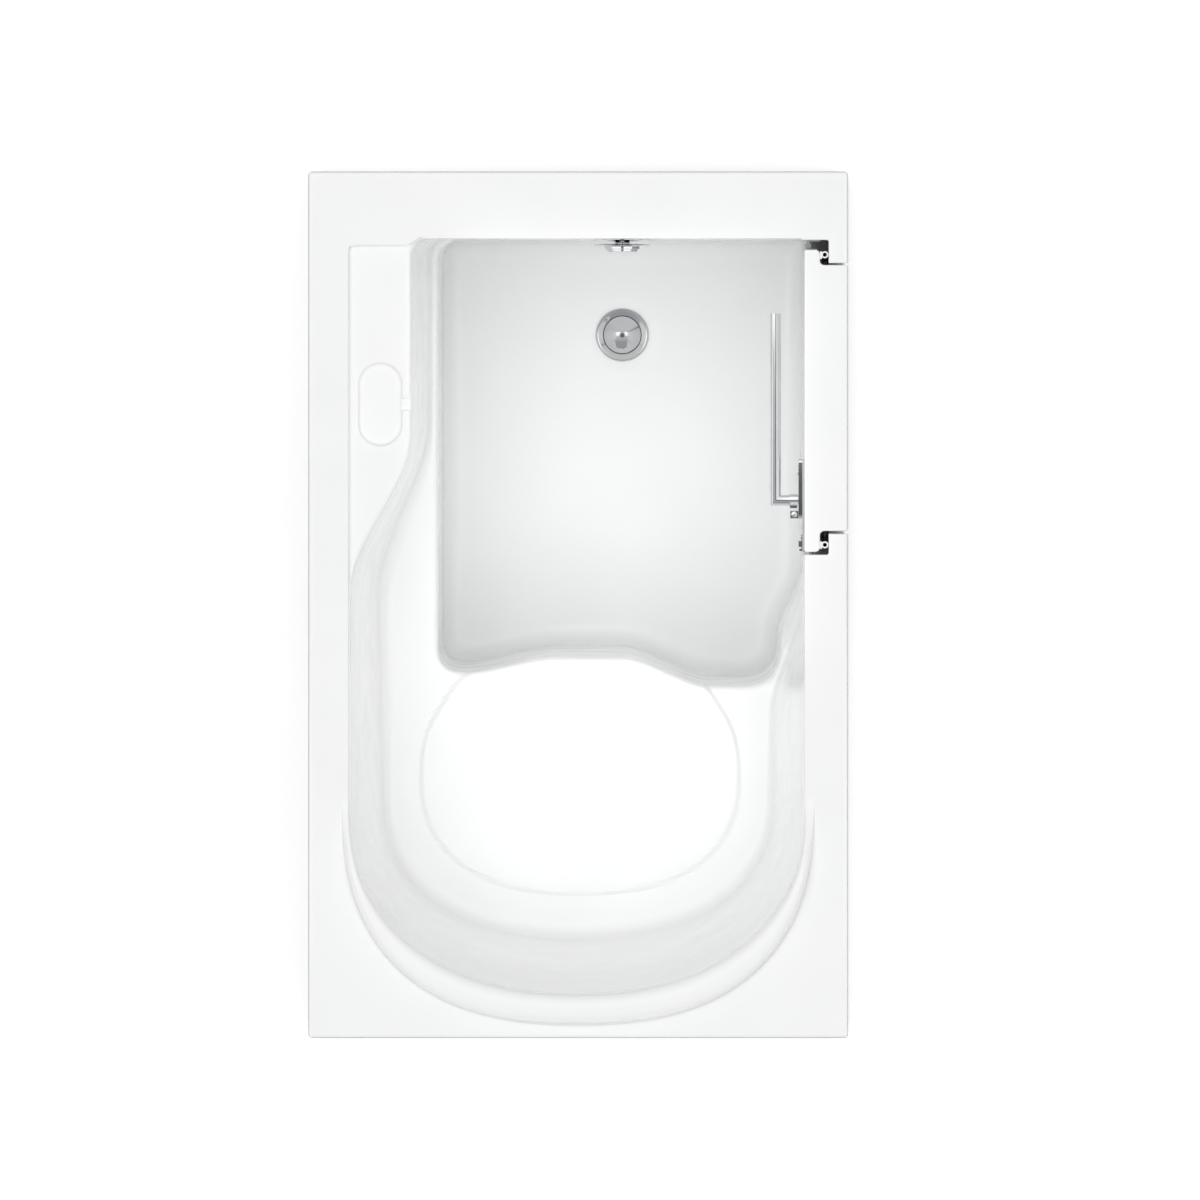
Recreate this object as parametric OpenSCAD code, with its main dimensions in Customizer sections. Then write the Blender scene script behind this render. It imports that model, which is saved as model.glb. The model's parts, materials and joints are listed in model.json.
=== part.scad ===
// Walk-in bathtub with an inward-opening door, an integral seat and a raised headrest.
// Frame: the origin is under the middle of the tub, on the floor it stands on. +Z is up,
// +X is the door side and +Y is the foot end, where the waste and the overflow are.

/* [Tub] */
// Width over the deck
tub_w = 760; // [740:5:800]
// Length over the deck
tub_l = 1220; // [1200:5:1320]
// Height of the deck above the floor
deck_z = 965; // [950:5:1000]
// Radius of the deck's corners in plan
deck_corner = 5; // [3:1:10]
// Height of the turned-down lip around the deck
lip_h = 40; // [30:1:60]
// Thickness of the acrylic shell
shell_t = 6; // [5:0.5:8]

/* [Basin] */
// Height of the seat and ledge above the floor
seat_z = 560; // [540:5:600]
// Fall of the seat and ledge towards the foot well
seat_fall = 2; // [1:0.5:3]
// Height of the foot well's floor
floor_z = 135; // [132:1:140]
// Distance from the deck's edge to the door-side wall of the basin
door_side_in = 61.4; // [60:0.2:64]
// Distance from the deck's edge to the basin's wall side at the seat
wall_side_in = 59; // [58:1:64]
// Distance from the deck's edge to the foot-end wall
foot_end_in = 94.3; // [93:0.1:96]
// Distance from the head end to the point where the seat-end curve starts
back_in = 335; // [325:5:345]
// Depth of the seat-end curve at the rim
back_depth = 272; // [262:2:276]
// Depth of the seat-end curve at the seat
seat_back_depth = 192; // [184:2:200]
// Fullness of the seat-end curve, where 2 is an ellipse
back_power = 2.27; // [2:0.01:2.6]
// Distance from the deck's edge to the side wall at the seat
seat_side_in = 107.2; // [100:0.2:115]

/* [Soap shelf] */
// Depth of the shelf below the deck
shelf_drop = 14; // [8:1:16]
// Distance from the deck's edge to the shelf's outer step
shelf_step_in = 56; // [52:1:57]
// Distance from the deck's edge to the basin edge along the shelf
shelf_edge_in = 144.2; // [135:0.2:150]
// Distance from the foot end to the shelf's step there
shelf_foot_in = 103.4; // [102:0.2:106]
// Width of the soap recess
soap_w = 61; // [50:1:64]
// Length of the soap recess
soap_l = 117; // [90:1:130]
// Depth of the soap recess
soap_d = 8; // [5:1:9]
// Distance from the basin edge to the middle of the soap recess
soap_side = 42.9; // [40:0.1:44]
// Distance from the foot-end wall to the middle of the soap recess
soap_end = 233.5; // [200:0.5:260]
// Width of the recess's drain channel
channel_w = 17; // [10:1:20]

/* [Headrest] */
// Height of the headrest roll above the deck
roll_h = 35; // [20:1:45]
// Distance from the deck's edge to the side of the roll
roll_side_in = 45; // [40:1:47]
// Distance from the head end to the back of the roll
roll_back_in = 19.5; // [14:0.5:24]

/* [Seat] */
// Half width of the raised seat pad
pad_a = 223.5; // [200:0.5:226]
// Half depth of the raised seat pad
pad_b = 160; // [150:1:164]
// Height of the pad above the seat
pad_h = 8; // [4:1:12]
// Distance from the start of the seat-end curve to the middle of the pad
pad_forward = 29; // [25:1:33]

/* [Foot well] */
// Distance from the shelf's basin edge to the well's edge below it
well_left_in = 39; // [36:0.2:44]
// Depth of the seat from the start of the seat-end curve to its front edge
seat_forward = 202; // [195:1:205]
// Radius of the well's corners under the seat's front edge
well_corner = 34; // [25:1:40]

/* [Door] */
// Width of the door's inner slab
door_w = 425.9; // [420:0.1:426]
// Distance from the foot-end wall to the inner slab's hinge edge
door_end_in = 15.5; // [15:0.1:17]
// Thickness of the door's inner slab
door_in_t = 21.8; // [20:0.2:22]
// Distance that the outer slab is set in from the latch edge
door_step_latch = 29.5; // [28:0.5:31]
// Distance that the outer slab is set in from the hinge edge
door_step_hinge = 21.8; // [20:0.2:23]
// Height of the inner sill above the floor
sill_z = 190; // [185:1:195]
// Height of the outer sill above the inner one
sill_step = 30; // [28:1:32]
// Gap between the door and the sills
door_gap = 4; // [3:0.5:5]
// Wall thickness of the door's skins
skin_t = 4; // [3:0.5:5]
// Depth of the jambs' step face, which the seal meets, behind the door-side wall
jamb_step = 33.9; // [33.4:0.1:34.4]
// Diameter of the seal's bulb
seal_d = 10; // [9:0.5:10]
// Bore of the seal's bulb
seal_bore = 5.7; // [4:0.1:6]

/* [Hinge] */
// Radius of the hinge's knuckles
knuckle_r = 4.2; // [4:0.1:4.4]
// Radius of the hinge pin
hinge_pin_r = 2; // [1.5:0.1:2.4]
// Clearance of the pin in the door's knuckles
hinge_fit = 0.05; // [0.02:0.01:0.09]
// Number of knuckles over the door's height
knuckles = 13; // [7:2:17]

/* [Lever and latch] */
// Distance from the door's latch edge to the lever's axis
lever_in = 72.7; // [72:0.1:76]
// Depth of the lever's axis below the deck
lever_drop = 165; // [135:5:205]
// Diameter of the lever's tube
lever_d = 14.8; // [13:0.2:16]
// Length of the lever's long arm
lever_l = 263; // [240:1:270]
// Distance of the long arm's centre line from the door
lever_off = 40.6; // [38:0.2:42]
// Radius of the crank that moves the latch bolt
crank_r = 9; // [8:0.5:10]
// How far the bolt stands out of the door's edge
bolt_out = 12; // [10:1:13]

/* [Waste and overflow] */
// Distance from the centre line to the waste and the overflow
waste_x = 62; // [50:1:70]
// Distance from the foot-end wall to the middle of the waste
waste_end = 135.7; // [130:0.1:140]
// Diameter of the waste's chrome flange
waste_d = 75.5; // [70:0.5:80]
// Diameter of the domed plug
plug_d = 52; // [48:1:54]
// Depth of the overflow's axis below the deck
overflow_drop = 125; // [105:5:165]
// Diameter of the overflow's cover plate
overflow_d = 80; // [72:1:84]
// Diameter of the overflow's knob
knob_d = 45; // [40:1:50]
// Outer radius of the waste pipes
pipe_r = 20; // [19:0.5:20]
// Distance from the foot-end wall to the middle of the vertical pipe behind it
riser_out = 33.3; // [32.8:0.1:33.6]

/* [Frame and feet] */
// Width of the square frame tube
tube = 30; // [25:1:30]
// Wall thickness of the frame tube
tube_t = 2; // [1.5:0.5:3]
// Height of the base rails' underside
rail_z = 45; // [40:1:50]
// Height of the base rails
rail_h = 40; // [30:1:40]
// Thickness of the side panels
panel_t = 2.5; // [2:0.5:3]
// Height of the panels' lower edge
panel_z = 20; // [12:1:30]
// Radius of the levelling feet
foot_r = 22; // [18:1:23]
// Radius of the feet's screws
foot_screw_r = 6; // [5:0.5:6]
// Thickness of the boards under the floor and the seat
board_t = 12; // [9:1:15]

/* [Hidden] */
$fn = 48;
eps = 0.01;

acrylic = "#f4f5f5";
chrome = "#c9ced3";
steel = "#9ba1a6";
rubber = "#d9dadb";
dark_rubber = "#2c2c2e";
plastic = "#3a3d40";

// ---- Outlines of the basin ----
// Each outline is one loop of six stretches, clockwise from above: foot end, door side along
// the well, door side along the seat, seat end, wall side along the seat, wall side along the
// well. Outlines have the same number of points, so points of one column lie on one section.
FOOT = 0;
DOOR = 1;
SEAT_RIGHT = 2;
BACK = 3;
SEAT_LEFT = 4;
WALL = 5;
stretch_n = [14, 12, 10, 22, 6, 28];
split_right_y = 60;
split_left_y = -40;

half_w = tub_w / 2;
half_l = tub_l / 2;
right_x = half_w - door_side_in;
left_x = half_w - wall_side_in;
foot_y = half_l - foot_end_in;
back_y = half_l - back_in;
seat_side_x = half_w - seat_side_in;
seat_front_y = seat_forward - back_y;
shelf_out_x = half_w - shelf_step_in;
shelf_in_x = half_w - shelf_edge_in;
shelf_foot_y = half_l - shelf_foot_in;
well_left_x = shelf_in_x - well_left_in;
roll_x = half_w - roll_side_in;
roll_y = half_l - roll_back_in;
soap_at = [-shelf_in_x - soap_side, foot_y - soap_end];
pad_at = [2.8, pad_forward - back_y];
waste_at = [waste_x, foot_y - waste_end];
step_gap = 3;
fold_y = foot_y + step_gap;

function smooth(t) = let (c = min(1, max(0, t))) c * c * (3 - 2 * c);
function mix(a, b, t) = a + (b - a) * t;
function curve_end(a, b, p, t) = let (c = cos(180 * t), s = sin(180 * t))
    [a * sign(c) * pow(abs(c), 2 / p), -back_y - b * pow(abs(s), 2 / p)];

// The seat's front edge swings back into a lobe on each side of its middle.
function seat_front(x) = seat_front_y - 21 * smooth((-x - 30) / 130) - 41 * smooth((x - 60) / 130);
lobe_right = right_x - 33.6;
lobe_mid_right = 190;
lobe_mid_left = -130;

function outer_line(s, t, w, l) =
    s == FOOT ? [mix(-w, w, t), l] :
    s == DOOR ? [w, mix(l, split_right_y, t)] :
    s == SEAT_RIGHT ? [w, mix(split_right_y, -l, t)] :
    s == BACK ? [mix(w, -w, t), -l] :
    s == SEAT_LEFT ? [-w, mix(-l, split_left_y, t)] :
    [-w, mix(split_left_y, l, t)];

// A loop that runs round the basin a given way outside its rim
function round_line(s, t, right, left, foot, depth, power) =
    s == FOOT ? [mix(-left, right, t), foot] :
    s == DOOR ? [right, mix(foot, split_right_y, t)] :
    s == SEAT_RIGHT ? [right, mix(split_right_y, -back_y, t)] :
    s == BACK ? curve_end((right + left) / 2, depth, power, t) + [(right - left) / 2, 0] :
    s == SEAT_LEFT ? [-left, mix(-back_y, split_left_y, t)] :
    [-left, mix(split_left_y, foot, t)];

// The shelf's end is met by a few columns at the rim's corner, and past its tip the two lines
// keep beside each other.
tip_t = 0.0433;
tip_x = mix(-shelf_in_x, right_x, tip_t);
function shelf_end_x(u) = mix(-shelf_out_x, tip_x, u < 0.4 ? 1.78 * u : 0.712 + 0.48 * (u - 0.4));
function shelf_line(s, t) = s == FOOT
    ? let (x = t < tip_t ? shelf_end_x(t / tip_t)
            : mix(tip_x, right_x + step_gap, (t - tip_t) / (1 - tip_t)))
        [x, shelf_foot_y + (fold_y - shelf_foot_y) * smooth((x + shelf_in_x + 6.2) / 22)]
    : s == WALL ? [-shelf_out_x, mix(split_left_y, shelf_foot_y, t)]
    : round_line(s, t, right_x + step_gap, shelf_out_x, fold_y, back_depth + step_gap, back_power);

function rim_line(s, t) = s == FOOT ? [mix(-shelf_in_x, right_x, t), foot_y]
    : s == WALL ? let (y = mix(split_left_y, foot_y, t))
        [-left_x + (left_x - shelf_in_x) * smooth((y - 15) / 225), y]
    : round_line(s, t, right_x, left_x, foot_y, back_depth, back_power);

ledge_in_x = shelf_in_x - 26.8;
ledge_out_x = left_x - 42.7;
draft = 0.5;
function ledge_line(s, t) =
    s == FOOT ? [mix(-ledge_in_x, right_x - draft, t), foot_y - draft] :
    s == DOOR ? [right_x - draft, mix(foot_y - draft, split_right_y, t)] :
    s == SEAT_RIGHT ? let (y = mix(split_right_y, -back_y, t))
        [mix(right_x - draft, seat_side_x, smooth((15 - y) / 172)), y] :
    s == BACK ? curve_end(seat_side_x, seat_back_depth, back_power, t) :
    s == SEAT_LEFT ? [mix(-seat_side_x, -ledge_out_x, t), mix(-back_y, split_left_y, t)] :
    let (y = mix(split_left_y, foot_y - draft, t))
        [-ledge_out_x + (ledge_out_x - ledge_in_x) * smooth((y - 15) / 247), y];

// The well's door side runs in to the right-hand lobe, whose corner is a wide bend.
lobe_corner = 55;
function lobe_line(t, right, lobe, front) = let (y1 = front + lobe_corner)
    t < 0.3 ? let (y = mix(split_right_y, y1, t / 0.3))
        [mix(right, lobe, smooth((split_right_y - y) / (split_right_y - y1))), y] :
    t < 0.85 ? bend([lobe, y1], [lobe, front], [lobe - lobe_corner, front], (t - 0.3) / 0.55) :
    [mix(lobe - lobe_corner, lobe_mid_right, (t - 0.85) / 0.15), front];
function well_line(s, t, inset, forward) =
    let (right = right_x - 1.2 - inset / 3, left = well_left_x - inset,
         foot = foot_y - 1.2 - inset / 3, lobe = lobe_right - inset)
    s == FOOT ? [mix(-left, right, t), foot] :
    s == DOOR ? [right, mix(foot, split_right_y, t)] :
    s == SEAT_RIGHT ? lobe_line(t, right, lobe, seat_front(lobe) + forward) :
    s == WALL ? [-left, mix(seat_front(-left) + forward, foot, t)] :
    let (x = s == BACK ? mix(lobe_mid_right, lobe_mid_left, t) : mix(lobe_mid_left, -left, t))
    [x, seat_front(x) + forward];

// Corners lie where one stretch meets the next and are rounded over a given length. A corner's
// points slide along a curve that touches both stretches at that length.
function bend(a, b, c, t) = a * (1 - t) * (1 - t) + b * 2 * t * (1 - t) + c * t * t;
// The share of a stretch, from its start (e = 0) or its end (e = 1), that is r long
function share_of(k, s, e, r, low = 0, high = 1, n = 14) = let (m = (low + high) / 2)
    n == 0 ? m :
    norm(line_of(k, s, abs(e - m)) - line_of(k, s, e)) < r ? share_of(k, s, e, r, m, high, n - 1) :
    share_of(k, s, e, r, low, m, n - 1);
function spread(t) = t - 0.8 * sin(360 * t) / 360 * 180 / PI;
function line_of(k, s, t) =
    k == "outer" ? outer_line(s, t, half_w, half_l) :
    k == "inner" ? outer_line(s, t, half_w - shell_t, half_l - shell_t) :
    k == "roll" ? round_line(s, t, roll_x - 2, roll_x - 2, foot_y + 14, roll_y - back_y, 2.5) :
    k == "shelf" ? shelf_line(s, t) :
    k == "rim" ? rim_line(s, t) :
    k == "ledge" ? ledge_line(s, t) :
    k == "well" ? well_line(s, t, 0, 0) :
    well_line(s, t, 6, 16);
function corners_of(k) =
    k == "outer" ? [deck_corner, deck_corner, 1, deck_corner, deck_corner, 1] :
    k == "inner" ? [0, 0, 0, 0, 0, 0] :
    k == "roll" ? [20, 20, 1, 1, 1, 1] :
    k == "shelf" ? [8, 5, 1, 1, 1, 1] :
    k == "rim" ? [28, 8, 1, 1, 1, 1] :
    k == "ledge" ? [30, 8, 1, 1, 1, 1] :
    [well_corner, 5, 1, 4, 4, well_corner];
function outline(k) = let (r = corners_of(k)) [for (s = [0:5]) for (i = [0:stretch_n[s] - 1])
    let (t = spread(i / stretch_n[s]), p = (s + 5) % 6, n = (s + 1) % 6,
         at_0 = line_of(k, s, 0), at_1 = line_of(k, s, 1), at_t = line_of(k, s, t),
         d0 = norm(at_t - at_0), d1 = norm(at_1 - at_t))
    t < 0.5 && d0 < r[s] ? bend(line_of(k, p, 1 - share_of(k, p, 1, r[s])), at_0,
        line_of(k, s, share_of(k, s, 0, r[s])), 0.5 + d0 / r[s] / 2) :
    t > 0.5 && d1 < r[n] ? bend(line_of(k, s, 1 - share_of(k, s, 1, r[n])), at_1,
        line_of(k, n, share_of(k, n, 0, r[n])), 0.5 - d1 / r[n] / 2) :
    at_t];

columns = stretch_n * [1, 1, 1, 1, 1, 1];
function next(i) = (i + 1) % columns;
function prev(i) = (i + columns - 1) % columns;
function outward(pts, d) = [for (i = [0:columns - 1])
    let (v = pts[next(i)] - pts[prev(i)]) pts[i] + d * [-v[1], v[0]] / norm(v)];

outer_pts = outline("outer");
inner_pts = outline("inner");
roll_pts = outline("roll");
shelf_pts = outline("shelf");
rim_pts = outline("rim");
ledge_pts = outline("ledge");
well_pts = outline("well");
floor_pts = outline("floor");
shelf_foot = outward(shelf_pts, -step_gap / 2);
shelf_under = outward(shelf_pts, shell_t);
rim_under = outward(rim_pts, shell_t);
ledge_under = outward(ledge_pts, shell_t);
well_under = outward(well_pts, shell_t);
floor_under = outward(floor_pts, shell_t);

sump_r = 48;
sump_drop = 2;
drain_r = 26;
// Points round the drain lie halfway between their direction from it and an even spacing.
function about_drain(i, r) =
    let (v = floor_pts[i] - waste_at, a = atan2(v[1], v[0]), even = 150 - 360 * i / columns,
         near = a + 360 * round((even - a) / 360), b = (near + even) / 2)
    waste_at + r * [cos(b), sin(b)];
// How much of the shelf and of the roll there is at a column
function shelf_share(i) = smooth((tip_x - 6 - shelf_pts[i][0]) / 20)
    * smooth((shelf_out_x - left_x - step_gap + norm(shelf_pts[i] - rim_pts[i])) / 8);
function roll_share(i) = smooth((-rim_pts[i][1] - back_y + 5) / 110);
function ledge_share(i) = smooth(norm(ledge_pts[i] - well_pts[i]) / 14)
    * (i < stretch_n[FOOT] ? 1 - smooth((ledge_pts[i][0] + ledge_in_x) / 60) : 1);

// Past the right-hand lobe the ledge turns into the steep door-side wall.
lobe_i = stretch_n[FOOT] + stretch_n[DOOR];
function lobe_fade(i) = i < stretch_n[FOOT] ? smooth((well_pts[i][0] + well_left_x - 50) / 250) :
    i < lobe_i ? 1 : i < lobe_i + stretch_n[SEAT_RIGHT] ? smooth((well_pts[i][1] + 75) / 95) : 0;

function put(p, z) = [p[0], p[1], z];
// One section through the shell: each corner is [point, rounding, number of points on it].
function section(i) =
    let (shelf_z = deck_z - shelf_drop * shelf_share(i), h = roll_h * roll_share(i),
         well_z = seat_z - 15 * (1 - ledge_share(i)) - 120 * lobe_fade(i), lip_z = deck_z - lip_h)
    [[put(outer_pts[i], lip_z), 0, 1],
     [put(outer_pts[i], deck_z), 5, 3],
     [put(roll_pts[i], deck_z), 0, 1],
     [put(mix(roll_pts[i], shelf_pts[i], 0.1), deck_z + 0.72 * h), 8, 2],
     [put(mix(roll_pts[i], shelf_pts[i], 0.45), deck_z + h), 12, 3],
     [put(mix(roll_pts[i], shelf_pts[i], 0.8), deck_z + 0.8 * h), 8, 2],
     [put(shelf_pts[i], deck_z + 0.5 * h), 1.5, 2],
     [put(shelf_foot[i], shelf_z + 0.4 * h), 3, 2],
     [put(rim_pts[i], shelf_z + 0.1 * h), 8, 4],
     [put(ledge_pts[i], seat_z + seat_fall), 24, 4],
     [put(well_pts[i], well_z), 14, 3],
     [put(floor_pts[i], floor_z), 34, 5],
     [put(about_drain(i, sump_r), floor_z), 0, 1],
     [put(about_drain(i, sump_r - 3), floor_z - sump_drop), 0, 1],
     [put(about_drain(i, drain_r), floor_z - sump_drop), 0, 1],
     [put(about_drain(i, drain_r), floor_z - sump_drop - shell_t), 0, 1],
     [put(about_drain(i, sump_r + 4), floor_z - sump_drop - shell_t), 0, 1],
     [put(about_drain(i, sump_r + 6), floor_z - shell_t), 0, 1],
     [put(floor_under[i], floor_z - shell_t), 38, 3],
     [put(well_under[i], well_z - shell_t), 12, 2],
     [put(ledge_under[i], seat_z + seat_fall - shell_t), 20, 2],
     [put(rim_under[i], shelf_z - shell_t), 0, 1],
     [put(shelf_under[i] + (shelf_pts[i] - shelf_under[i]) * 0.1, shelf_z - shell_t), 0, 1],
     [put(mix(shelf_under[i], roll_pts[i], 0.1), deck_z - shell_t), 0, 1],
     [put(mix(shelf_under[i], roll_pts[i], 0.5), deck_z - shell_t + 0.8 * h), 0, 1],
     [put(mix(shelf_under[i], roll_pts[i], 0.78), deck_z - shell_t + 0.5 * h), 0, 1],
     [put(mix(shelf_under[i], roll_pts[i], 0.87), deck_z - shell_t), 0, 1],
     [put(inner_pts[i], deck_z - shell_t), 0, 1],
     [put(inner_pts[i], lip_z), 0, 1]];
function rounded(keys) = let (n = len(keys)) [for (j = [0:n - 1])
    let (b = keys[j][0], m = keys[j][2])
    if (m == 1) b else
    let (a = keys[j - 1][0], c = keys[j + 1][0], ra = min(keys[j][1], 0.45 * norm(a - b)),
         rc = min(keys[j][1], 0.45 * norm(c - b)), p = b + (a - b) * ra / norm(a - b),
         q = b + (c - b) * rc / norm(c - b))
    for (k = [0:m - 1]) bend(p, b, q, k / (m - 1))];

module shell_body() {
    grid = [for (i = [0:columns - 1]) rounded(section(i))];
    m = len(grid[0]);
    polyhedron([for (c = grid) for (p = c) p],
        [for (i = [0:columns - 1]) for (j = [0:m - 1])
            let (a = i * m + j, b = next(i) * m + j, c = next(i) * m + (j + 1) % m,
                 d = i * m + (j + 1) % m)
            each [[a, b, c], [a, c, d]]]);
}

// ---- Solids that several pieces share ----
module at(p) translate(p) children();
module along_x() rotate([0, 90, 0]) children();
module along_y() rotate([-90, 0, 0]) children();
module block(x, y, z) translate([x[0], y[0], z[0]]) cube([x[1] - x[0], y[1] - y[0], z[1] - z[0]]);
module ring(r, bore, h) difference() {
    cylinder(r = r, h = h);
    at([0, 0, -1]) cylinder(r = bore, h = h + 2);
}
// A box with rounded upright edges
module post_block(x, y, z, r) hull() for (px = [x[0] + r, x[1] - r], py = [y[0] + r, y[1] - r])
    at([px, py, z[0]]) cylinder(r = r, h = z[1] - z[0], $fn = 24);
// A slot that widens upwards by its depth below z, which eases the edges of an opening
module flare(x, y, z, d) hull() {
    post_block(x, y, [z - d, z - d + eps], 3);
    post_block([x[0] - d, x[1] + d], [y[0] - d, y[1] + d], [z, z + 20], 3 + d);
}
// A hollow square tube along one axis, given by its outer box
module tube_x(x, y, z) difference() {
    block(x, y, z);
    block([x[0] - 1, x[1] + 1], [y[0] + tube_t, y[1] - tube_t], [z[0] + tube_t, z[1] - tube_t]);
}
module tube_y(x, y, z) difference() {
    block(x, y, z);
    block([x[0] + tube_t, x[1] - tube_t], [y[0] - 1, y[1] + 1], [z[0] + tube_t, z[1] - tube_t]);
}
module tube_z(x, y, z) difference() {
    block(x, y, z);
    block([x[0] + tube_t, x[1] - tube_t], [y[0] + tube_t, y[1] - tube_t], [z[0] - 1, z[1] + 1]);
}
// A pan-head screw whose shank points down and whose head starts at z = 0
module pan_screw(head_r, head_h, shank_r, shank_l) {
    intersection() {
        cylinder(r = head_r, h = head_h);
        at([0, 0, head_h - 2.4 * head_r]) sphere(r = 2.4 * head_r);
    }
    at([0, 0, -shank_l]) cylinder(r = shank_r, h = shank_l + eps);
}

// ---- Places that the door, its opening and its fittings share ----
door_y1 = foot_y - door_end_in;
door_y0 = door_y1 - door_w;
outer_y0 = door_y0 + door_step_latch;
outer_y1 = door_y1 - door_step_hinge;
door_x0 = right_x;
door_x1 = right_x + door_in_t;
door_top = deck_z - 1.5;
door_bottom = sill_z + door_gap;
outer_sill = sill_z + sill_step;
outer_bottom = outer_sill + door_gap;
jamb_step_x = right_x + jamb_step;
lever_y = door_y0 + lever_in;
lever_z = deck_z - lever_drop;
overflow_z = deck_z - overflow_drop;
riser_y = foot_y + riser_out;
in_open = [door_y0 - 3.8, door_y1 + 13.4];
out_open = [outer_y0 - 3.8, outer_y1 + 2.7];
hinge_at = [right_x + 4.9, door_y1 + 5.6];
skirt_in = half_w - shell_t;
frame_x = skirt_in - panel_t - 0.3;
frame_y = half_l - shell_t - panel_t - 0.3;
rail_top = rail_z + rail_h;
under_deck = deck_z - shell_t;
under_floor = floor_z - shell_t;
under_seat = seat_z - shell_t;

// ---- The tub ----
module tub_shell() color(acrylic) difference() {
    union() {
        shell_body();
        seat_pad();
        post_block([soap_at[0] - soap_w / 2 - 5, soap_at[0] + soap_w / 2 + 5],
            [soap_at[1] - soap_l / 2 - 5, soap_at[1] + soap_l / 2 + 5],
            [deck_z - shelf_drop - soap_d - 5, deck_z - shelf_drop - 2], soap_w / 2 + 4);
    }
    soap_recess();
    post_block([right_x - 4, jamb_step_x], in_open, [sill_z, deck_z + 9], 3);
    post_block([jamb_step_x - 9, half_w + 9], out_open, [sill_z + 10, deck_z + 9], 3);
    block([jamb_step_x, half_w + 9], out_open, [sill_z + 10, deck_z + 9]);
    block([right_x - 4, right_x + 9], in_open, [sill_z, deck_z + 9]);
    flare([right_x - 4, jamb_step_x], in_open, deck_z, 2);
    flare([jamb_step_x - 9, half_w + 9], out_open, deck_z, 2);
    at([waste_at[0], foot_y - 5, overflow_z]) along_y() cylinder(r = 30, h = 20);
}
module seat_pad() hull() for (tier = [[1, 0], [0.99, 5], [0.96, 8]])
    at([pad_at[0], pad_at[1], seat_z - 2]) linear_extrude(pad_h - 6 + tier[1])
        polygon([for (a = [0:7.5:359]) tier[0] * pad_edge(a)]);
function pad_edge(a) = let (p = 2 / 2.4)
    [pad_a * sign(cos(a)) * pow(abs(cos(a)), p), pad_b * sign(sin(a)) * pow(abs(sin(a)), p)];
module soap_recess() {
    z = [deck_z - shelf_drop - soap_d, deck_z];
    post_block([soap_at[0] - soap_w / 2, soap_at[0] + soap_w / 2],
        [soap_at[1] - soap_l / 2, soap_at[1] + soap_l / 2], z, soap_w / 2 - 1);
    post_block([soap_at[0], -shelf_in_x + 14],
        [soap_at[1] - channel_w / 2, soap_at[1] + channel_w / 2],
        [deck_z - shelf_drop - 3, deck_z], 4);
    for (side = [-1, 1]) hull() for (back = [0, 4])
        at([-shelf_in_x - 4 + back, soap_at[1] + side * (channel_w / 2 + back / 2),
            deck_z - shelf_drop - 3]) cylinder(r = 2, h = 9, $fn = 16);
}
// The moulded frame of the doorway: two rebated jambs and a rebated sill
module door_surround() color(acrylic) difference() {
    x = [right_x + shell_t + 0.3, skirt_in - panel_t - 0.2];
    union() {
        block(x, [in_open[0] - 34, in_open[0] + 40], [rail_top, under_deck]);
        block(x, [in_open[1] - 44, in_open[1] + 30], [rail_top, under_deck]);
        block(x, [in_open[0] - 34, in_open[1] + 30], [sill_z - 40, outer_sill]);
    }
    block([right_x, jamb_step_x], in_open, [sill_z, deck_z]);
    block([jamb_step_x - 1, half_w], out_open, [outer_sill, deck_z]);
    block([right_x, jamb_step_x], [in_open[0] + 40, in_open[1] - 44], [sill_z, deck_z]);
    // The pockets that make each jamb a shell, open downwards
    block([x[0] + 5, x[1] - 5], [in_open[0] - 29, in_open[0] - 14], [rail_top - 1, under_deck - 5]);
    block([x[0] + 5, x[1] - 5], [in_open[1] + 8, in_open[1] + 25], [rail_top - 1, under_deck - 5]);
    // The latch bolt's pocket, behind its keeper
    block([bolt_x[0] - 1.5, bolt_x[1] + 1.5], [in_open[0] - 15, in_open[0] + 1],
        [lever_z - 16, lever_z + 16]);
    block([right_x + 7.5, right_x + 22.5], [in_open[0] - 2, in_open[0] + 1],
        [lever_z - 30, lever_z + 30]);
}

// ---- Boards, frame, feet and panels ----
module floor_board() color("#b9a27c") post_block([32 - well_left_x, right_x - 64],
    [30, waste_at[1] - 62], [under_floor - board_t, under_floor], 12);
module seat_board() color("#b9a27c") post_block([48 - seat_side_x, seat_side_x - 42],
    [-back_y - 112, -back_y + 144], [under_seat - board_t, under_seat], 60);
side_y = [-back_y - 85, -back_y + 110];
joist_y = [for (d = [398, 312, 228]) foot_y - d];
module base_frame() color(steel) difference() {
    union() {
        for (side = [-1, 1]) tube_y(side > 0 ? [frame_x - tube, frame_x] : [-frame_x, tube - frame_x],
            [-frame_y, frame_y], [rail_z, rail_top]);
        for (y = [-frame_y, -15, frame_y - tube])
            tube_x([tube - frame_x, frame_x - tube], [y, y + tube], [rail_z, rail_top]);
    }
    for (p = foot_places) at([p[0], p[1], rail_z - 1]) cylinder(r = foot_screw_r + 0.3, h = 5);
}
module floor_joists() color(steel) for (y = joist_y)
    tube_x([-frame_x, frame_x], [y, y + tube], [rail_top, under_floor - board_t]);
module frame_posts() color(steel) {
    for (side = [-1, 1], y = [-frame_y, side_y[0], side_y[1], frame_y - tube])
        tube_z(side > 0 ? [frame_x - tube, frame_x] : [-frame_x, tube - frame_x], [y, y + tube],
            [rail_top, under_deck - tube]);
    tube_z([-frame_x, tube - frame_x], [joist_y[1] - tube - 12, joist_y[1] - 12],
        [rail_top, under_deck - tube]);
}
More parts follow.
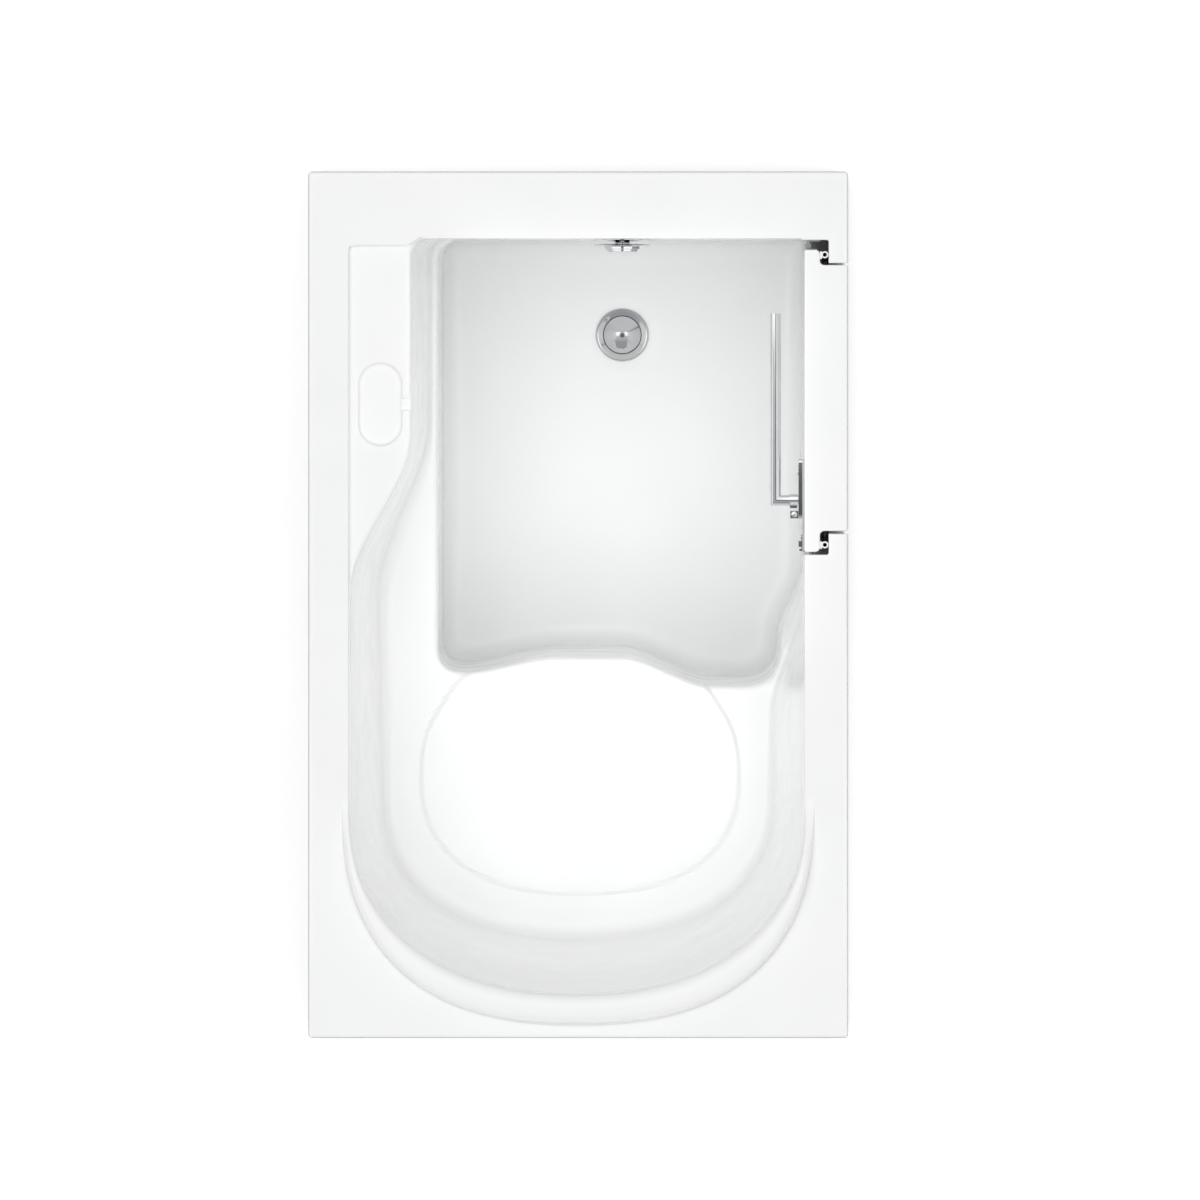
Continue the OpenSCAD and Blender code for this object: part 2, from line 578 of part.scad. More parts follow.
module deck_rails() color(steel) {
    z = [under_deck - tube, under_deck];
    tube_y([-frame_x, tube - frame_x], [-frame_y, frame_y], z);
    tube_y([frame_x - tube, frame_x], [-frame_y, in_open[0] - 34], z);
    tube_y([frame_x - tube, frame_x], [in_open[1] + 30, frame_y], z);
    for (y = [-frame_y, frame_y - tube]) tube_x([tube - frame_x, frame_x - tube], [y, y + tube], z);
}
module seat_joists() color(steel) for (y = side_y)
    tube_x([tube - frame_x, frame_x - tube], [y, y + tube],
        [under_seat - board_t - tube, under_seat - board_t]);
foot_places = [for (x = [-1, 1], y = [-1, 0, 1])
    [x * (frame_x - tube / 2), y * (frame_y - tube / 2)]];
pad_h_foot = 12;
nut_h = 8;
module foot_pads() color(dark_rubber) for (p = foot_places) at([p[0], p[1], 0]) difference() {
    rotate_extrude() polygon([[0, 0], [foot_r, 0], [foot_r, 4], [foot_r - 3, 7], [14, pad_h_foot],
        [0, pad_h_foot]]);
    at([0, 0, 4]) cylinder(r = foot_screw_r + 2, h = pad_h_foot);
}
module foot_screws() color(chrome) for (p = foot_places) at([p[0], p[1], 4]) {
    cylinder(r = foot_screw_r + 2, h = 6);
    cylinder(r = foot_screw_r, h = rail_z + 25);
}
module foot_lock_nuts() color(chrome) for (p = foot_places) at([p[0], p[1], rail_z - nut_h]) {
    difference() {
        cylinder(r = foot_screw_r * 1.9, h = nut_h, $fn = 6);
        at([0, 0, -1]) cylinder(r = foot_screw_r, h = nut_h + 2);
    }
}
panel_top = deck_z - lip_h + 22;
module door_side_panel() color(acrylic) difference() {
    block([skirt_in - panel_t, skirt_in], [-frame_y - 0.2, frame_y + 0.2], [panel_z, panel_top]);
    block([skirt_in - panel_t - 1, skirt_in + 1], out_open, [outer_sill, panel_top + 1]);
    for (p = side_screws) at([skirt_in - panel_t - 1, p[0], p[1]]) along_x()
        cylinder(r = 2.1, h = panel_t + 2);
}
module end_panel(side) color(acrylic) difference() {
    y = half_l - shell_t;
    block([0.5 - skirt_in, skirt_in - panel_t - 0.1], side > 0 ? [y - panel_t, y] : [-y, panel_t - y],
        [panel_z, panel_top]);
    for (p = end_screws) at([p[0], side * (y - panel_t / 2), p[1]]) along_y()
        cylinder(r = 2.1, h = panel_t + 2, center = true);
}
module foot_end_panel() end_panel(1);
module head_end_panel() end_panel(-1);
screw_z = [65, 480, deck_z - 85];
side_screws = [for (y = [25 - half_l, -back_y - 70, -back_y + 140, half_l - 25], z = screw_z) [y, z]];
end_screws = [for (x = [25 - half_w, half_w - 30], z = screw_z) [x, z]];
module panel_screws() color(chrome) {
    for (p = side_screws) at([skirt_in, p[0], p[1]]) along_x() panel_screw();
    for (p = end_screws) {
        at([p[0], half_l - shell_t, p[1]]) along_y() panel_screw();
        at([p[0], shell_t - half_l, p[1]]) rotate([90, 0, 0]) panel_screw();
    }
}
module panel_screw() pan_screw(5, 2.6, 2, panel_t + 0.2);

// ---- Waste ----
sump_z = floor_z - sump_drop;
flange_t = 3.5;
waste_bore = 20;
tail_r = 24;
pipe_z = 76;
module at_waste(z) at([waste_at[0], waste_at[1], z]) children();
module waste_flange() color(chrome) at_waste(0) {
    plug_guide();
    rotate_extrude() polygon([[waste_bore, sump_z - 30], [tail_r, sump_z - 30], [tail_r, sump_z],
        [waste_d / 2, sump_z], [waste_d / 2, sump_z + 2], [waste_d / 2 - 1.5, sump_z + flange_t],
        [waste_d / 2 - 3, sump_z + flange_t], [plug_d / 2 + 1.5, sump_z + 1.6],
        [waste_bore + 2, sump_z + 0.5],
        [waste_bore, sump_z - 3]]);
}
// A cross in the flange's bore guides the plug's stem.
guide_z = [sump_z - 24, sump_z - 17];
module plug_guide() difference() {
    union() {
        for (turn = [0, 90]) rotate(turn) block([-waste_bore - 1, waste_bore + 1], [-1.5, 1.5], guide_z);
        at([0, 0, guide_z[0]]) cylinder(r = 7, h = guide_z[1] - guide_z[0]);
    }
    at([0, 0, guide_z[0] - 1]) cylinder(r = stem_r + 0.05, h = 20);
}
stem_r = 4;
module waste_gasket() color(dark_rubber) at_waste(sump_z - shell_t - 3) ring(36, tail_r, 3);
module waste_nut() color(chrome) at_waste(sump_z - shell_t - 13) difference() {
    cylinder(r = 36, h = 10, $fn = 8);
    at([0, 0, -1]) cylinder(r = tail_r, h = 12);
}
// The shoe takes the water from the waste into the pipe that runs to the tee.
tee_z = pipe_z;
module waste_shoe() color(plastic) difference() {
    union() {
        at_waste(pipe_z - pipe_r) cylinder(r = tail_r + 4, h = sump_z - shell_t - 13.3 - pipe_z + pipe_r);
        at([waste_at[0], waste_at[1], pipe_z]) along_y() cylinder(r = pipe_r,
            h = riser_y - waste_at[1] - 34);
    }
    at_waste(pipe_z) cylinder(r = tail_r + eps, h = 60);
    at_waste(pipe_z - pipe_r + 3) cylinder(r = tail_r - 3, h = 60);
    at([waste_at[0], waste_at[1], pipe_z]) along_y() cylinder(r = pipe_r - 3, h = 200);
}
spigot_z = 12;
module waste_tee() color(plastic) difference() {
    union() {
        at([waste_at[0], riser_y, spigot_z]) cylinder(r = pipe_r, h = 90);
        at([waste_at[0], riser_y, 46]) cylinder(r = pipe_r + 2, h = 62);
        at([waste_at[0], riser_y - 33.5, tee_z]) along_y() cylinder(r = pipe_r + 2, h = 34);
    }
    at([waste_at[0], riser_y, spigot_z - 1]) cylinder(r = pipe_r - 3, h = 100);
    at([waste_at[0], riser_y, tee_z + 26]) cylinder(r = pipe_r + eps, h = 60);
    at([waste_at[0], riser_y - 35, tee_z]) along_y() cylinder(r = pipe_r - 3, h = 36);
}
module pipe_nuts() color(plastic) {
    at([waste_at[0], riser_y, tee_z + 32.3]) ring(pipe_r + 6, pipe_r, 12);
    at([waste_at[0], riser_y - 46, tee_z]) along_y() ring(pipe_r + 6, pipe_r, 12);
    at([waste_at[0], riser_y, overflow_z - 52]) ring(pipe_r + 6, pipe_r, 12);
}
module overflow_pipe() color(plastic) at([waste_at[0], riser_y, tee_z + 26.3])
    ring(pipe_r, pipe_r - 3, overflow_z - 34 - tee_z - 26.3);
module overflow_elbow() color(plastic) difference() {
    wall = foot_y + shell_t + 3.4;
    union() {
        at([waste_at[0], riser_y, overflow_z - 33.6]) cylinder(r = pipe_r + 3, h = 56);
        at([waste_at[0], wall, overflow_z]) along_y() cylinder(r = pipe_r + 6, h = riser_y - wall);
        at([waste_at[0], wall, overflow_z]) along_y() cylinder(r = 37, h = 4);
    }
    at([waste_at[0], riser_y, overflow_z - 35]) cylinder(r = pipe_r - 3, h = 53);
    at([waste_at[0], wall - 1, overflow_z]) along_y() cylinder(r = pipe_r, h = riser_y - wall);
}
module overflow_gasket() color(dark_rubber) at([waste_at[0], foot_y + shell_t + 0.3, overflow_z])
    along_y() ring(37, 30.5, 3);
plate_y = foot_y - draft - 0.2;
plate_t = 6;
neck_r = 10;
// The plate narrows to a neck, and the water runs behind the knob and through the plate's holes.
module overflow_plate() color(chrome) at([waste_at[0], plate_y, overflow_z]) rotate([90, 0, 0])
    difference() {
        rotate_extrude() polygon([[0, 0], [overflow_d / 2 - 1, 0], [overflow_d / 2 - 1, 1],
            [neck_r + 8, 3.4], [neck_r + 1.5, 4.6], [neck_r, plate_t], [0, plate_t]]);
        for (a = [30:60:359]) rotate(a) at([neck_r + 11, 0, -1]) cylinder(r = 4, h = 6);
        at([0, 0, -2]) cylinder(r = 5.05, h = plate_t + 3);
    }
// The knob is a wide disc with a smaller disc and a cap in front of it.
disc_r = knob_d / 2 + 2;
module overflow_knob() color(chrome) at([waste_at[0], plate_y - plate_t - 0.3, overflow_z])
    rotate([90, 0, 0]) {
        rotate_extrude() polygon([[0, 0], [neck_r, 0], [overflow_d / 2 - 1, 1.4],
            [overflow_d / 2, 2.2], [overflow_d / 2 - 0.6, 3], [disc_r + 1, 4], [disc_r, 4.4],
            [disc_r, 7.4], [disc_r - 0.6, 8], [disc_r - 3, 8.2], [disc_r - 3, 10.8],
            [disc_r - 4.2, 11.8], [0, 12.2]]);
        at([0, 0, -21]) cylinder(r = 5, h = 21 + eps);
    }
cable_r = 3;
module release_cable() color("#1e1e20") {
    bend_r = 30;
    lie = pipe_r - 3 - cable_r - 0.3;
    back = riser_y + lie;
    low = pipe_z - lie;
    at([waste_at[0], back, low + bend_r]) cylinder(r = cable_r, h = overflow_z - 24 - low - bend_r);
    at([waste_at[0], back - bend_r, low + bend_r]) rotate([90, 0, 90]) rotate([0, 0, -90])
        rotate_extrude(angle = 90) at([bend_r, 0]) circle(r = cable_r);
    at([waste_at[0], waste_at[1] + 8, low]) along_y() cylinder(r = cable_r,
        h = back - bend_r - waste_at[1] - 8);
}
plug_z = sump_z + flange_t + 0.6;
module plug() color(chrome) at_waste(0) {
    at([0, 0, plug_z]) intersection() {
        cylinder(r = plug_d / 2, h = 8);
        at([0, 0, 7.5 - 50]) sphere(r = 50, $fn = 96);
    }
    at([0, 0, sump_z - 26]) cylinder(r = stem_r, h = 32);
}
ring_z = sump_z + 0.8;
module plug_ring() color(dark_rubber) at_waste(ring_z) difference() {
    cylinder(r1 = waste_bore + 1, r2 = waste_bore + 2.5, h = plug_z - ring_z);
    at([0, 0, -1]) cylinder(r = stem_r, h = 9);
}

// ---- Hinge ----
hinge_z0 = door_bottom + 6;
hinge_z1 = door_top - 2;
knuckle_l = (hinge_z1 - hinge_z0) / knuckles;
leaf_t = 2;
// Knuckles alternate between the leaves, and the jamb's leaf has the first and the last.
module knuckle_row(first, bore) for (i = [first:2:knuckles - 1])
    at([hinge_at[0], hinge_at[1], hinge_z0 + i * knuckle_l + 0.15])
        ring(knuckle_r, bore, knuckle_l - 0.3);
module hinge_jamb_leaf() color(chrome) {
    difference() {
        union() {
            knuckle_row(0, hinge_pin_r);
            block([hinge_at[0] - 1.6, right_x + 22], [in_open[1] - leaf_t - 0.1, in_open[1] - 0.1],
                [hinge_z0, hinge_z1]);
            for (i = [0:2:knuckles - 1]) block([hinge_at[0] - 1.6, hinge_at[0] + 1.6],
                [hinge_at[1], in_open[1] - leaf_t],
                [hinge_z0 + i * knuckle_l + 0.15, hinge_z0 + (i + 1) * knuckle_l - 0.15]);
        }
        at([hinge_at[0], hinge_at[1], hinge_z0 - 1]) cylinder(r = hinge_pin_r, h = 900);
        for (z = hinge_screw_z) at([right_x + 15, in_open[1] - leaf_t - 1, z]) along_y()
            cylinder(r = 1.6, h = leaf_t + 2);
    }
}
module hinge_door_leaf() color(chrome) difference() {
    union() {
        knuckle_row(1, hinge_pin_r + hinge_fit);
        for (i = [1:2:knuckles - 2]) block([hinge_at[0] - 3.2, right_x + 19],
            [door_y1 + 0.1, door_y1 + 1.9],
            [hinge_z0 + i * knuckle_l + 0.15, hinge_z0 + (i + 1) * knuckle_l - 0.15]);
    }
    at([hinge_at[0], hinge_at[1], hinge_z0 - 1]) cylinder(r = hinge_pin_r + hinge_fit, h = 900);
}
module hinge_pin() color(chrome) at([hinge_at[0], hinge_at[1], hinge_z0]) {
    cylinder(r = hinge_pin_r, h = hinge_z1 - hinge_z0);
    at([0, 0, hinge_z1 - hinge_z0]) cylinder(r = knuckle_r, h = 1.2);
}
hinge_screw_z = [for (i = [0:4:knuckles - 1]) hinge_z0 + (i + 0.5) * knuckle_l];
module hinge_screws() color(chrome) for (z = hinge_screw_z)
    at([right_x + 15, in_open[1] - leaf_t - 0.1, z])
        rotate([90, 0, 0]) pan_screw(3.2, 1.2, 1.6, leaf_t);

// ---- Door ----
module door_inner_skin() color(acrylic) difference() {
    block([door_x0, door_x1], [door_y0, door_y1], [door_bottom, door_top]);
    block([door_x0 + skin_t, door_x1 - skin_t], [door_y0 + skin_t, door_y1 - skin_t],
        [door_bottom + skin_t, door_top - skin_t]);
    block([door_x1 - skin_t - 1, door_x1 + 1], [outer_y0 + 8, outer_y1 - 8],
        [outer_bottom + 8, door_top - 8]);
    at([door_x0 - 1, lever_y, lever_z]) along_x() cylinder(r = 8, h = skin_t + 2);
    block([door_x0 + 9, door_x0 + 18], [door_y0 - 1, door_y0 + skin_t + 1],
        [lever_z - 13, lever_z + 13]);
}
module door_outer_skin() color(acrylic) difference() {
    block([door_x1, half_w], [outer_y0, outer_y1], [outer_bottom, door_top]);
    block([door_x1 - 1, half_w - skin_t], [outer_y0 + skin_t, outer_y1 - skin_t],
        [outer_bottom + skin_t, door_top - skin_t]);
}
hollow_x = [door_x0 + skin_t, door_x1 - skin_t];
frame_w = 24;
module door_frame() color(steel) difference() {
    block(hollow_x, [door_y0 + skin_t, door_y1 - skin_t], [door_bottom + skin_t, door_top - skin_t]);
    block([hollow_x[0] - 1, hollow_x[1] + 1],
        [door_y0 + skin_t + frame_w, door_y1 - skin_t - frame_w],
        [door_bottom + skin_t + frame_w, door_top - skin_t - frame_w]);
    block([hollow_x[0] - 1, hollow_x[1] + 1], [door_y0, door_y0 + skin_t + frame_w + 1],
        [lever_z - 26, lever_z + 26]);
}
module door_core() color("#e8dfc0") difference() {
    union() {
        block([hollow_x[0], hollow_x[1]], [door_y0 + skin_t + frame_w, door_y1 - skin_t - frame_w],
            [door_bottom + skin_t + frame_w, door_top - skin_t - frame_w]);
        block([hollow_x[1], half_w - skin_t], [outer_y0 + 8, outer_y1 - 8],
            [outer_bottom + 8, door_top - 8]);
        block([hollow_x[1] - 1, hollow_x[1] + 1], [outer_y0 + 8, outer_y1 - 8],
            [outer_bottom + 8, door_top - skin_t - frame_w]);
    }
    block([hollow_x[0] - 1, hollow_x[1]], [door_y0, lever_y + 30], [lever_z - 26, lever_z + 26]);
}
seal_x = jamb_step_x - 0.3 - seal_d / 2;
seal_y = [door_y0 + 10.1, door_y1 - 6.3 - 1];
seal_z = door_bottom + 11;
seal_turn = 9;
module seal_tube(h) ring(seal_d / 2, seal_bore / 2, h);
module seal_bend() rotate_extrude(angle = 90) at([seal_turn, 0]) difference() {
    circle(d = seal_d);
    circle(d = seal_bore);
}
module door_seal() color(rubber) {
    for (y = seal_y) at([seal_x, y, seal_z + seal_turn]) seal_tube(door_top - seal_z - seal_turn - 2);
    at([seal_x, seal_y[0] + seal_turn, seal_z]) along_y()
        seal_tube(seal_y[1] - seal_y[0] - 2 * seal_turn);
    at([seal_x, seal_y[0] + seal_turn, seal_z + seal_turn]) rotate([0, -90, 180]) rotate(90)
        seal_bend();
    at([seal_x, seal_y[1] - seal_turn, seal_z + seal_turn]) rotate([0, 90, 0]) seal_bend();
    strip = [door_x1 + 0.05, seal_x - seal_d / 2 + 1];
    for (y = seal_y) block(strip, [y - 6, y + 5], [seal_z + seal_turn, door_top - 2]);
    block(strip, [seal_y[0] + seal_turn, seal_y[1] - seal_turn], [seal_z - 5.5, seal_z + 5.5]);
}

// ---- Lever, lock and latch ----
module at_lever(x) at([x, lever_y, lever_z]) children();
plate_x = door_x0 - 3.1;
cover_x = plate_x - 5.4;
cover_screw_y = lever_y + 39;
module lever_backplate() color(chrome) difference() {
    hull() for (y = [door_y0 + 3, lever_y + 55], z = [-27, 27]) at([plate_x, y, lever_z + z]) along_x()
        cylinder(r = 3, h = door_x0 - plate_x);
    at_lever(plate_x - 1) along_x() cylinder(r = 8, h = 9);
}
module lever_cover() color(chrome) difference() {
    hull() for (y = [lever_y - 21, lever_y + 53], z = [-19, 19]) at([cover_x, y, lever_z + z]) along_x()
        cylinder(r = 5, h = plate_x - cover_x);
    at_lever(cover_x - 1) along_x() cylinder(r = 8, h = 9);
    for (z = [-14, 14]) at([cover_x - 1, cover_screw_y, lever_z + z]) along_x() cylinder(r = 2, h = 9);
}
module cover_screws() color(chrome) for (z = [-14, 14]) at([cover_x, cover_screw_y, lever_z + z])
    rotate([0, -90, 0]) pan_screw(3.6, 1.8, 2, plate_x - cover_x);
// A small block on the plate, near the door's latch edge
guide_y = [door_y0 + 1.2, door_y0 + 25];
guide_screw_z = [-6, 6];
module latch_guide() color(chrome) difference() {
    z = [lever_z - 10, lever_z + 10];
    union() {
        block([plate_x - 1.6, plate_x], guide_y, z);
        block([plate_x - 4.5, plate_x], [guide_y[0], guide_y[0] + 3.4], z);
        block([plate_x - 5.5, plate_x], [guide_y[0] + 6, guide_y[0] + 14.5], z);
    }
    for (z = guide_screw_z) at([plate_x - 2, guide_y[1] - 4, lever_z + z]) along_x()
        cylinder(r = 1.2, h = 3);
}
module guide_screws() color(chrome) for (z = guide_screw_z)
    at([plate_x - 1.6, guide_y[1] - 4, lever_z + z]) rotate([0, -90, 0]) pan_screw(2.6, 1.5, 1.2, 1.6);
stop_y = lever_y - 20;
module lever_stop() color(chrome) at([cover_x - 12, stop_y - 5.5, lever_z + 12]) difference() {
    cube([12, 11, 11]);
    at([6, 5.5, -1]) cylinder(r = 2.5, h = 13);
}
module stop_screw() color(chrome) at([cover_x - 6, stop_y, lever_z + 23]) pan_screw(4.2, 2, 2.5, 11);
lever_r = lever_d / 2;
lever_x = door_x0 - lever_off;
boss_x = cover_x - 6;
boss_r = 8.6;
module lever_handle() color(chrome) difference() {
    union() {
        at([lever_x, lever_y, lever_z]) along_y() cylinder(r = lever_r, h = lever_l);
        at([lever_x, lever_y, lever_z]) along_x() cylinder(r = lever_r, h = boss_x - lever_x);
        intersection() {
            at([lever_x, lever_y - lever_r - 1, lever_z]) along_y()
                cylinder(r = lever_r, h = 2 * lever_r);
            at([lever_x - lever_r - 1, lever_y, lever_z]) along_x()
                cylinder(r = lever_r, h = 2 * lever_r);
        }
        at_lever(boss_x - 8) along_x() cylinder(r = boss_r, h = cover_x - boss_x + 7.7);
        // The lug under the boss
        at_lever(boss_x - 6) block([0, 10], [-boss_r - 2.4, 1 - boss_r], [-5, 5]);
    }
    at_lever(lever_x + 12) along_x() cylinder(r = 5, h = 40);
    at([boss_x - 2, lever_y, lever_z - 12]) cylinder(r = 2, h = 8);
}
module lever_spindle() color(steel) {
    at_lever(lever_x + 12) along_x() cylinder(r = 5, h = cam_x - lever_x - 12 + eps);
    at_lever(cam_x) along_x() cylinder(r = crank_r + 3.6, h = 3);
    at_lever(cam_x) rotate([225, 0, 0]) at([0, crank_r, 0]) along_x() cylinder(r = 2.2, h = 6.6);
}
module grub_screw() color(steel) at([boss_x - 2, lever_y, lever_z - boss_r])
    cylinder(r = 2, h = boss_r - 5);
cam_x = door_x0 + 6;
bolt_x = [cam_x + 3.4, cam_x + 7];
bolt_z = [-12.5, 8];
module lock_case() color(steel) difference() {
    block([hollow_x[0] + 0.1, hollow_x[1] - 0.1], [door_y0 + skin_t + 0.2, lever_y + 28],
        [lever_z - 24, lever_z + 24]);
    block([hollow_x[0] + 1.2, hollow_x[1] - 1.5], [door_y0 + skin_t + 3, lever_y + 26],
        [lever_z - 22, lever_z + 22]);
    at_lever(hollow_x[0] - 1) along_x() cylinder(r = 6, h = 4);
    block([bolt_x[0] - 0.3, bolt_x[1] + 0.3], [door_y0, door_y0 + skin_t + 4],
        [lever_z + bolt_z[0] - 0.3, lever_z + bolt_z[1] + 0.3]);
}
slot_mid = crank_r * sin(45);
module latch_bolt() color(steel) difference() {
    block(bolt_x, [door_y0 - bolt_out, lever_y + 6], [lever_z + bolt_z[0], lever_z + bolt_z[1]]);
    hull() for (z = [-crank_r, -slot_mid]) at([bolt_x[0] - 1, lever_y - slot_mid, lever_z + z])
        along_x() cylinder(r = 2.2 + 0.7, h = 9, $fn = 32);
}
module keeper() color(chrome) difference() {
    block([right_x + 8, right_x + 22], [in_open[0] - 1.8, in_open[0] - 0.2],
        [lever_z - 29, lever_z + 29]);
    block([bolt_x[0] - 0.8, bolt_x[1] + 0.8], [in_open[0] - 3, in_open[0] + 1],
        [lever_z + bolt_z[0] - 1, lever_z + bolt_z[1] + 1]);
    for (z = keeper_screw_z) at([right_x + 15, in_open[0] - 3, lever_z + z]) along_y()
        cylinder(r = 1.5, h = 4);
}
keeper_screw_z = [-23, 23];
module keeper_screws() color(chrome) for (z = keeper_screw_z)
    at([right_x + 15, in_open[0] - 0.2, lever_z + z]) along_y() pan_screw(3, 1.1, 1.5, 1.6);

tub_shell();
door_surround();
floor_board();
seat_board();
base_frame();
floor_joists();
frame_posts();
deck_rails();
seat_joists();
foot_pads();
foot_screws();
foot_lock_nuts();
door_side_panel();
foot_end_panel();
head_end_panel();
panel_screws();
waste_flange();
waste_gasket();
waste_nut();
waste_shoe();
waste_tee();
pipe_nuts();
overflow_pipe();
overflow_elbow();
overflow_gasket();
overflow_plate();
overflow_knob();
release_cable();
plug();
plug_ring();
hinge_jamb_leaf();
hinge_door_leaf();
hinge_pin();
hinge_screws();
door_inner_skin();
door_outer_skin();
door_frame();
door_core();
door_seal();
lever_backplate();
lever_cover();
cover_screws();
lever_stop();
stop_screw();
latch_guide();
guide_screws();
lever_handle();
lever_spindle();
grub_screw();
lock_case();
latch_bolt();
keeper();
keeper_screws();
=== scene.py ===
import json
import math

import bpy
import numpy as np
from mathutils import Matrix


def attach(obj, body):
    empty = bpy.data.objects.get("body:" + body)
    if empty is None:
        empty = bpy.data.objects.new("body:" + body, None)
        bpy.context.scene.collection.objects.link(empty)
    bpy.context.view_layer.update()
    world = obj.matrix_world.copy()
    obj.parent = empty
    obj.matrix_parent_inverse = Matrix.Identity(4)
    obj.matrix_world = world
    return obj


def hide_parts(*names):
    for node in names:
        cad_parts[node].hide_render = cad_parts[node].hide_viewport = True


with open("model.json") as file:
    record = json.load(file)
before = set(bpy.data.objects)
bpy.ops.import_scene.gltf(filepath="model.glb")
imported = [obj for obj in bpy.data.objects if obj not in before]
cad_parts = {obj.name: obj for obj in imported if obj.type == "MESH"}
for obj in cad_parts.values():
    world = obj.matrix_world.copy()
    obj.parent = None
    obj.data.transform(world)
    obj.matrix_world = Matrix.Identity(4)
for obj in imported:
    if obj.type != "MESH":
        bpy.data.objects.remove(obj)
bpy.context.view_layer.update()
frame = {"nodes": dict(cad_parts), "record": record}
nodes = frame["nodes"]
mm = 0.001

cameraSet = {
    "above": 5.0,  # metres over the deck
    "middle": (0.0306, 0.0067),
    "fieldWidth": 1.6896,  # metres across the frame
    "deck": 0.965,
}
lightSet = {
    "worldStrength": 0.62,
    "sunStrength": 1.38,
    "sunAngle": 50,  # degrees across, which keeps shadows soft
    "sunTilt": (4, -3),  # degrees about x and y
    # A light panel that hangs over the foot well: middle, size, watts
    "panel": ((0.06, 0.21, 1.0), (0.46, 0.56), 0.42),
    # The studio as mirrors show it: height of the direction, then the grey seen there
    "mirrored": ((0.0, "#8C8F91"), (0.46, "#8C8F91"), (0.50, "#5E6163"), (0.54, "#E6E7E8"),
                 (0.62, "#FFFFFF"), (0.992, "#FFFFFF"), (0.997, "#55585A")),
    "mirroredSide": ((0.30, "#8E9194"), (0.46, "#B4B6B8"), (0.495, "#FFFFFF")),
    "mirroredStrength": 1.3,
}
floorSet = {"size": 120, "colour": "#F1F1F0", "lift": 0.42}


def linearColour(hexColour):
    # Turns an sRGB hex colour into the linear values that a socket takes
    parts = [int(hexColour[i : i + 2], 16) / 255 for i in (1, 3, 5)]
    return [p / 12.92 if p <= 0.04045 else ((p + 0.055) / 1.055) ** 2.4 for p in parts] + [1.0]


def addNode(tree, kind, settings=None, links=None):
    # Adds a node, sets its sockets or properties and links its inputs
    node = tree.nodes.new(kind)
    for key, value in (settings or {}).items():
        if isinstance(key, int) or key in node.inputs:
            node.inputs[key].default_value = value
        else:
            setattr(node, key, value)
    for key, source in (links or {}).items():
        tree.links.new(source, node.inputs[key])
    return node


def addCamera(settings):
    data = bpy.data.cameras.new("cameraAbove")
    data.type = "ORTHO"  # parallel, because upright walls are edge on all over the photo
    data.ortho_scale = settings["fieldWidth"]
    camera = bpy.data.objects.new("cameraAbove", data)
    x, y = settings["middle"]
    camera.location = (x, y, settings["deck"] + settings["above"])
    bpy.context.scene.collection.objects.link(camera)
    bpy.context.scene.camera = camera


def addLights(settings):
    sun = bpy.data.lights.new("softSun", "SUN")
    sun.energy = settings["sunStrength"]
    sun.angle = math.radians(settings["sunAngle"])
    lamp = bpy.data.objects.new("softSun", sun)
    tiltX, tiltY = settings["sunTilt"]
    lamp.rotation_euler = (math.radians(tiltX), math.radians(tiltY), 0)
    lamp.visible_glossy = False  # so that flat chrome shows the studio's ceiling
    bpy.context.scene.collection.objects.link(lamp)
    middle, size, watts = settings["panel"]
    light = bpy.data.lights.new("lightPanel", "AREA")
    light.shape = "RECTANGLE"
    light.size, light.size_y = size
    light.energy = watts
    panel = bpy.data.objects.new("lightPanel", light)
    panel.location = middle
    panel.visible_camera = False
    panel.visible_glossy = False
    bpy.context.scene.collection.objects.link(panel)


def addRamp(tree, value, stops):
    # Colours along a value that runs from -1 to 1
    share = addNode(tree, "ShaderNodeMapRange", {"From Min": -1.0, "From Max": 1.0},
                    {"Value": value})
    ramp = addNode(tree, "ShaderNodeValToRGB", links={"Fac": share.outputs[0]})
    elements = ramp.color_ramp.elements
    for i, (spot, colour) in enumerate(stops):
        stop = elements[i] if i < 2 else elements.new(spot)
        stop.position = spot
        stop.color = linearColour(colour)
    return ramp.outputs["Color"]


def addWorld(settings):
    world = bpy.data.worlds.new("studio")
    world.use_nodes = True
    bpy.context.scene.world = world
    tree = world.node_tree
    tree.nodes.clear()
    path = addNode(tree, "ShaderNodeLightPath")
    soft = addNode(tree, "ShaderNodeBackground", {"Strength": settings["worldStrength"]})
    plain = addNode(tree, "ShaderNodeBackground", {"Strength": 1.0})
    place = addNode(tree, "ShaderNodeTexCoord")
    axes = addNode(tree, "ShaderNodeSeparateXYZ", links={0: place.outputs["Generated"]})
    tall = addRamp(tree, axes.outputs["Z"], settings["mirrored"])
    side = addRamp(tree, axes.outputs["Y"], settings["mirroredSide"])
    # In a colour mix, input 0 is the factor, 6 and 7 are the colours, and output 2 is the result
    shade = addNode(tree, "ShaderNodeMix",
                    {"data_type": "RGBA", "blend_type": "MULTIPLY", 0: 1.0}, {6: tall, 7: side})
    banded = addNode(tree, "ShaderNodeBackground", {"Strength": settings["mirroredStrength"]},
                     {"Color": shade.outputs[2]})
    mirrored = addNode(tree, "ShaderNodeMixShader",
                       links={0: path.outputs["Is Glossy Ray"], 1: soft.outputs[0],
                              2: banded.outputs[0]})
    shown = addNode(tree, "ShaderNodeMath", {"operation": "MAXIMUM"},
                    {0: path.outputs["Is Camera Ray"], 1: path.outputs["Is Transmission Ray"]})
    whole = addNode(tree, "ShaderNodeMixShader",
                    links={0: shown.outputs[0], 1: mirrored.outputs[0], 2: plain.outputs[0]})
    addNode(tree, "ShaderNodeOutputWorld", links={"Surface": whole.outputs[0]})


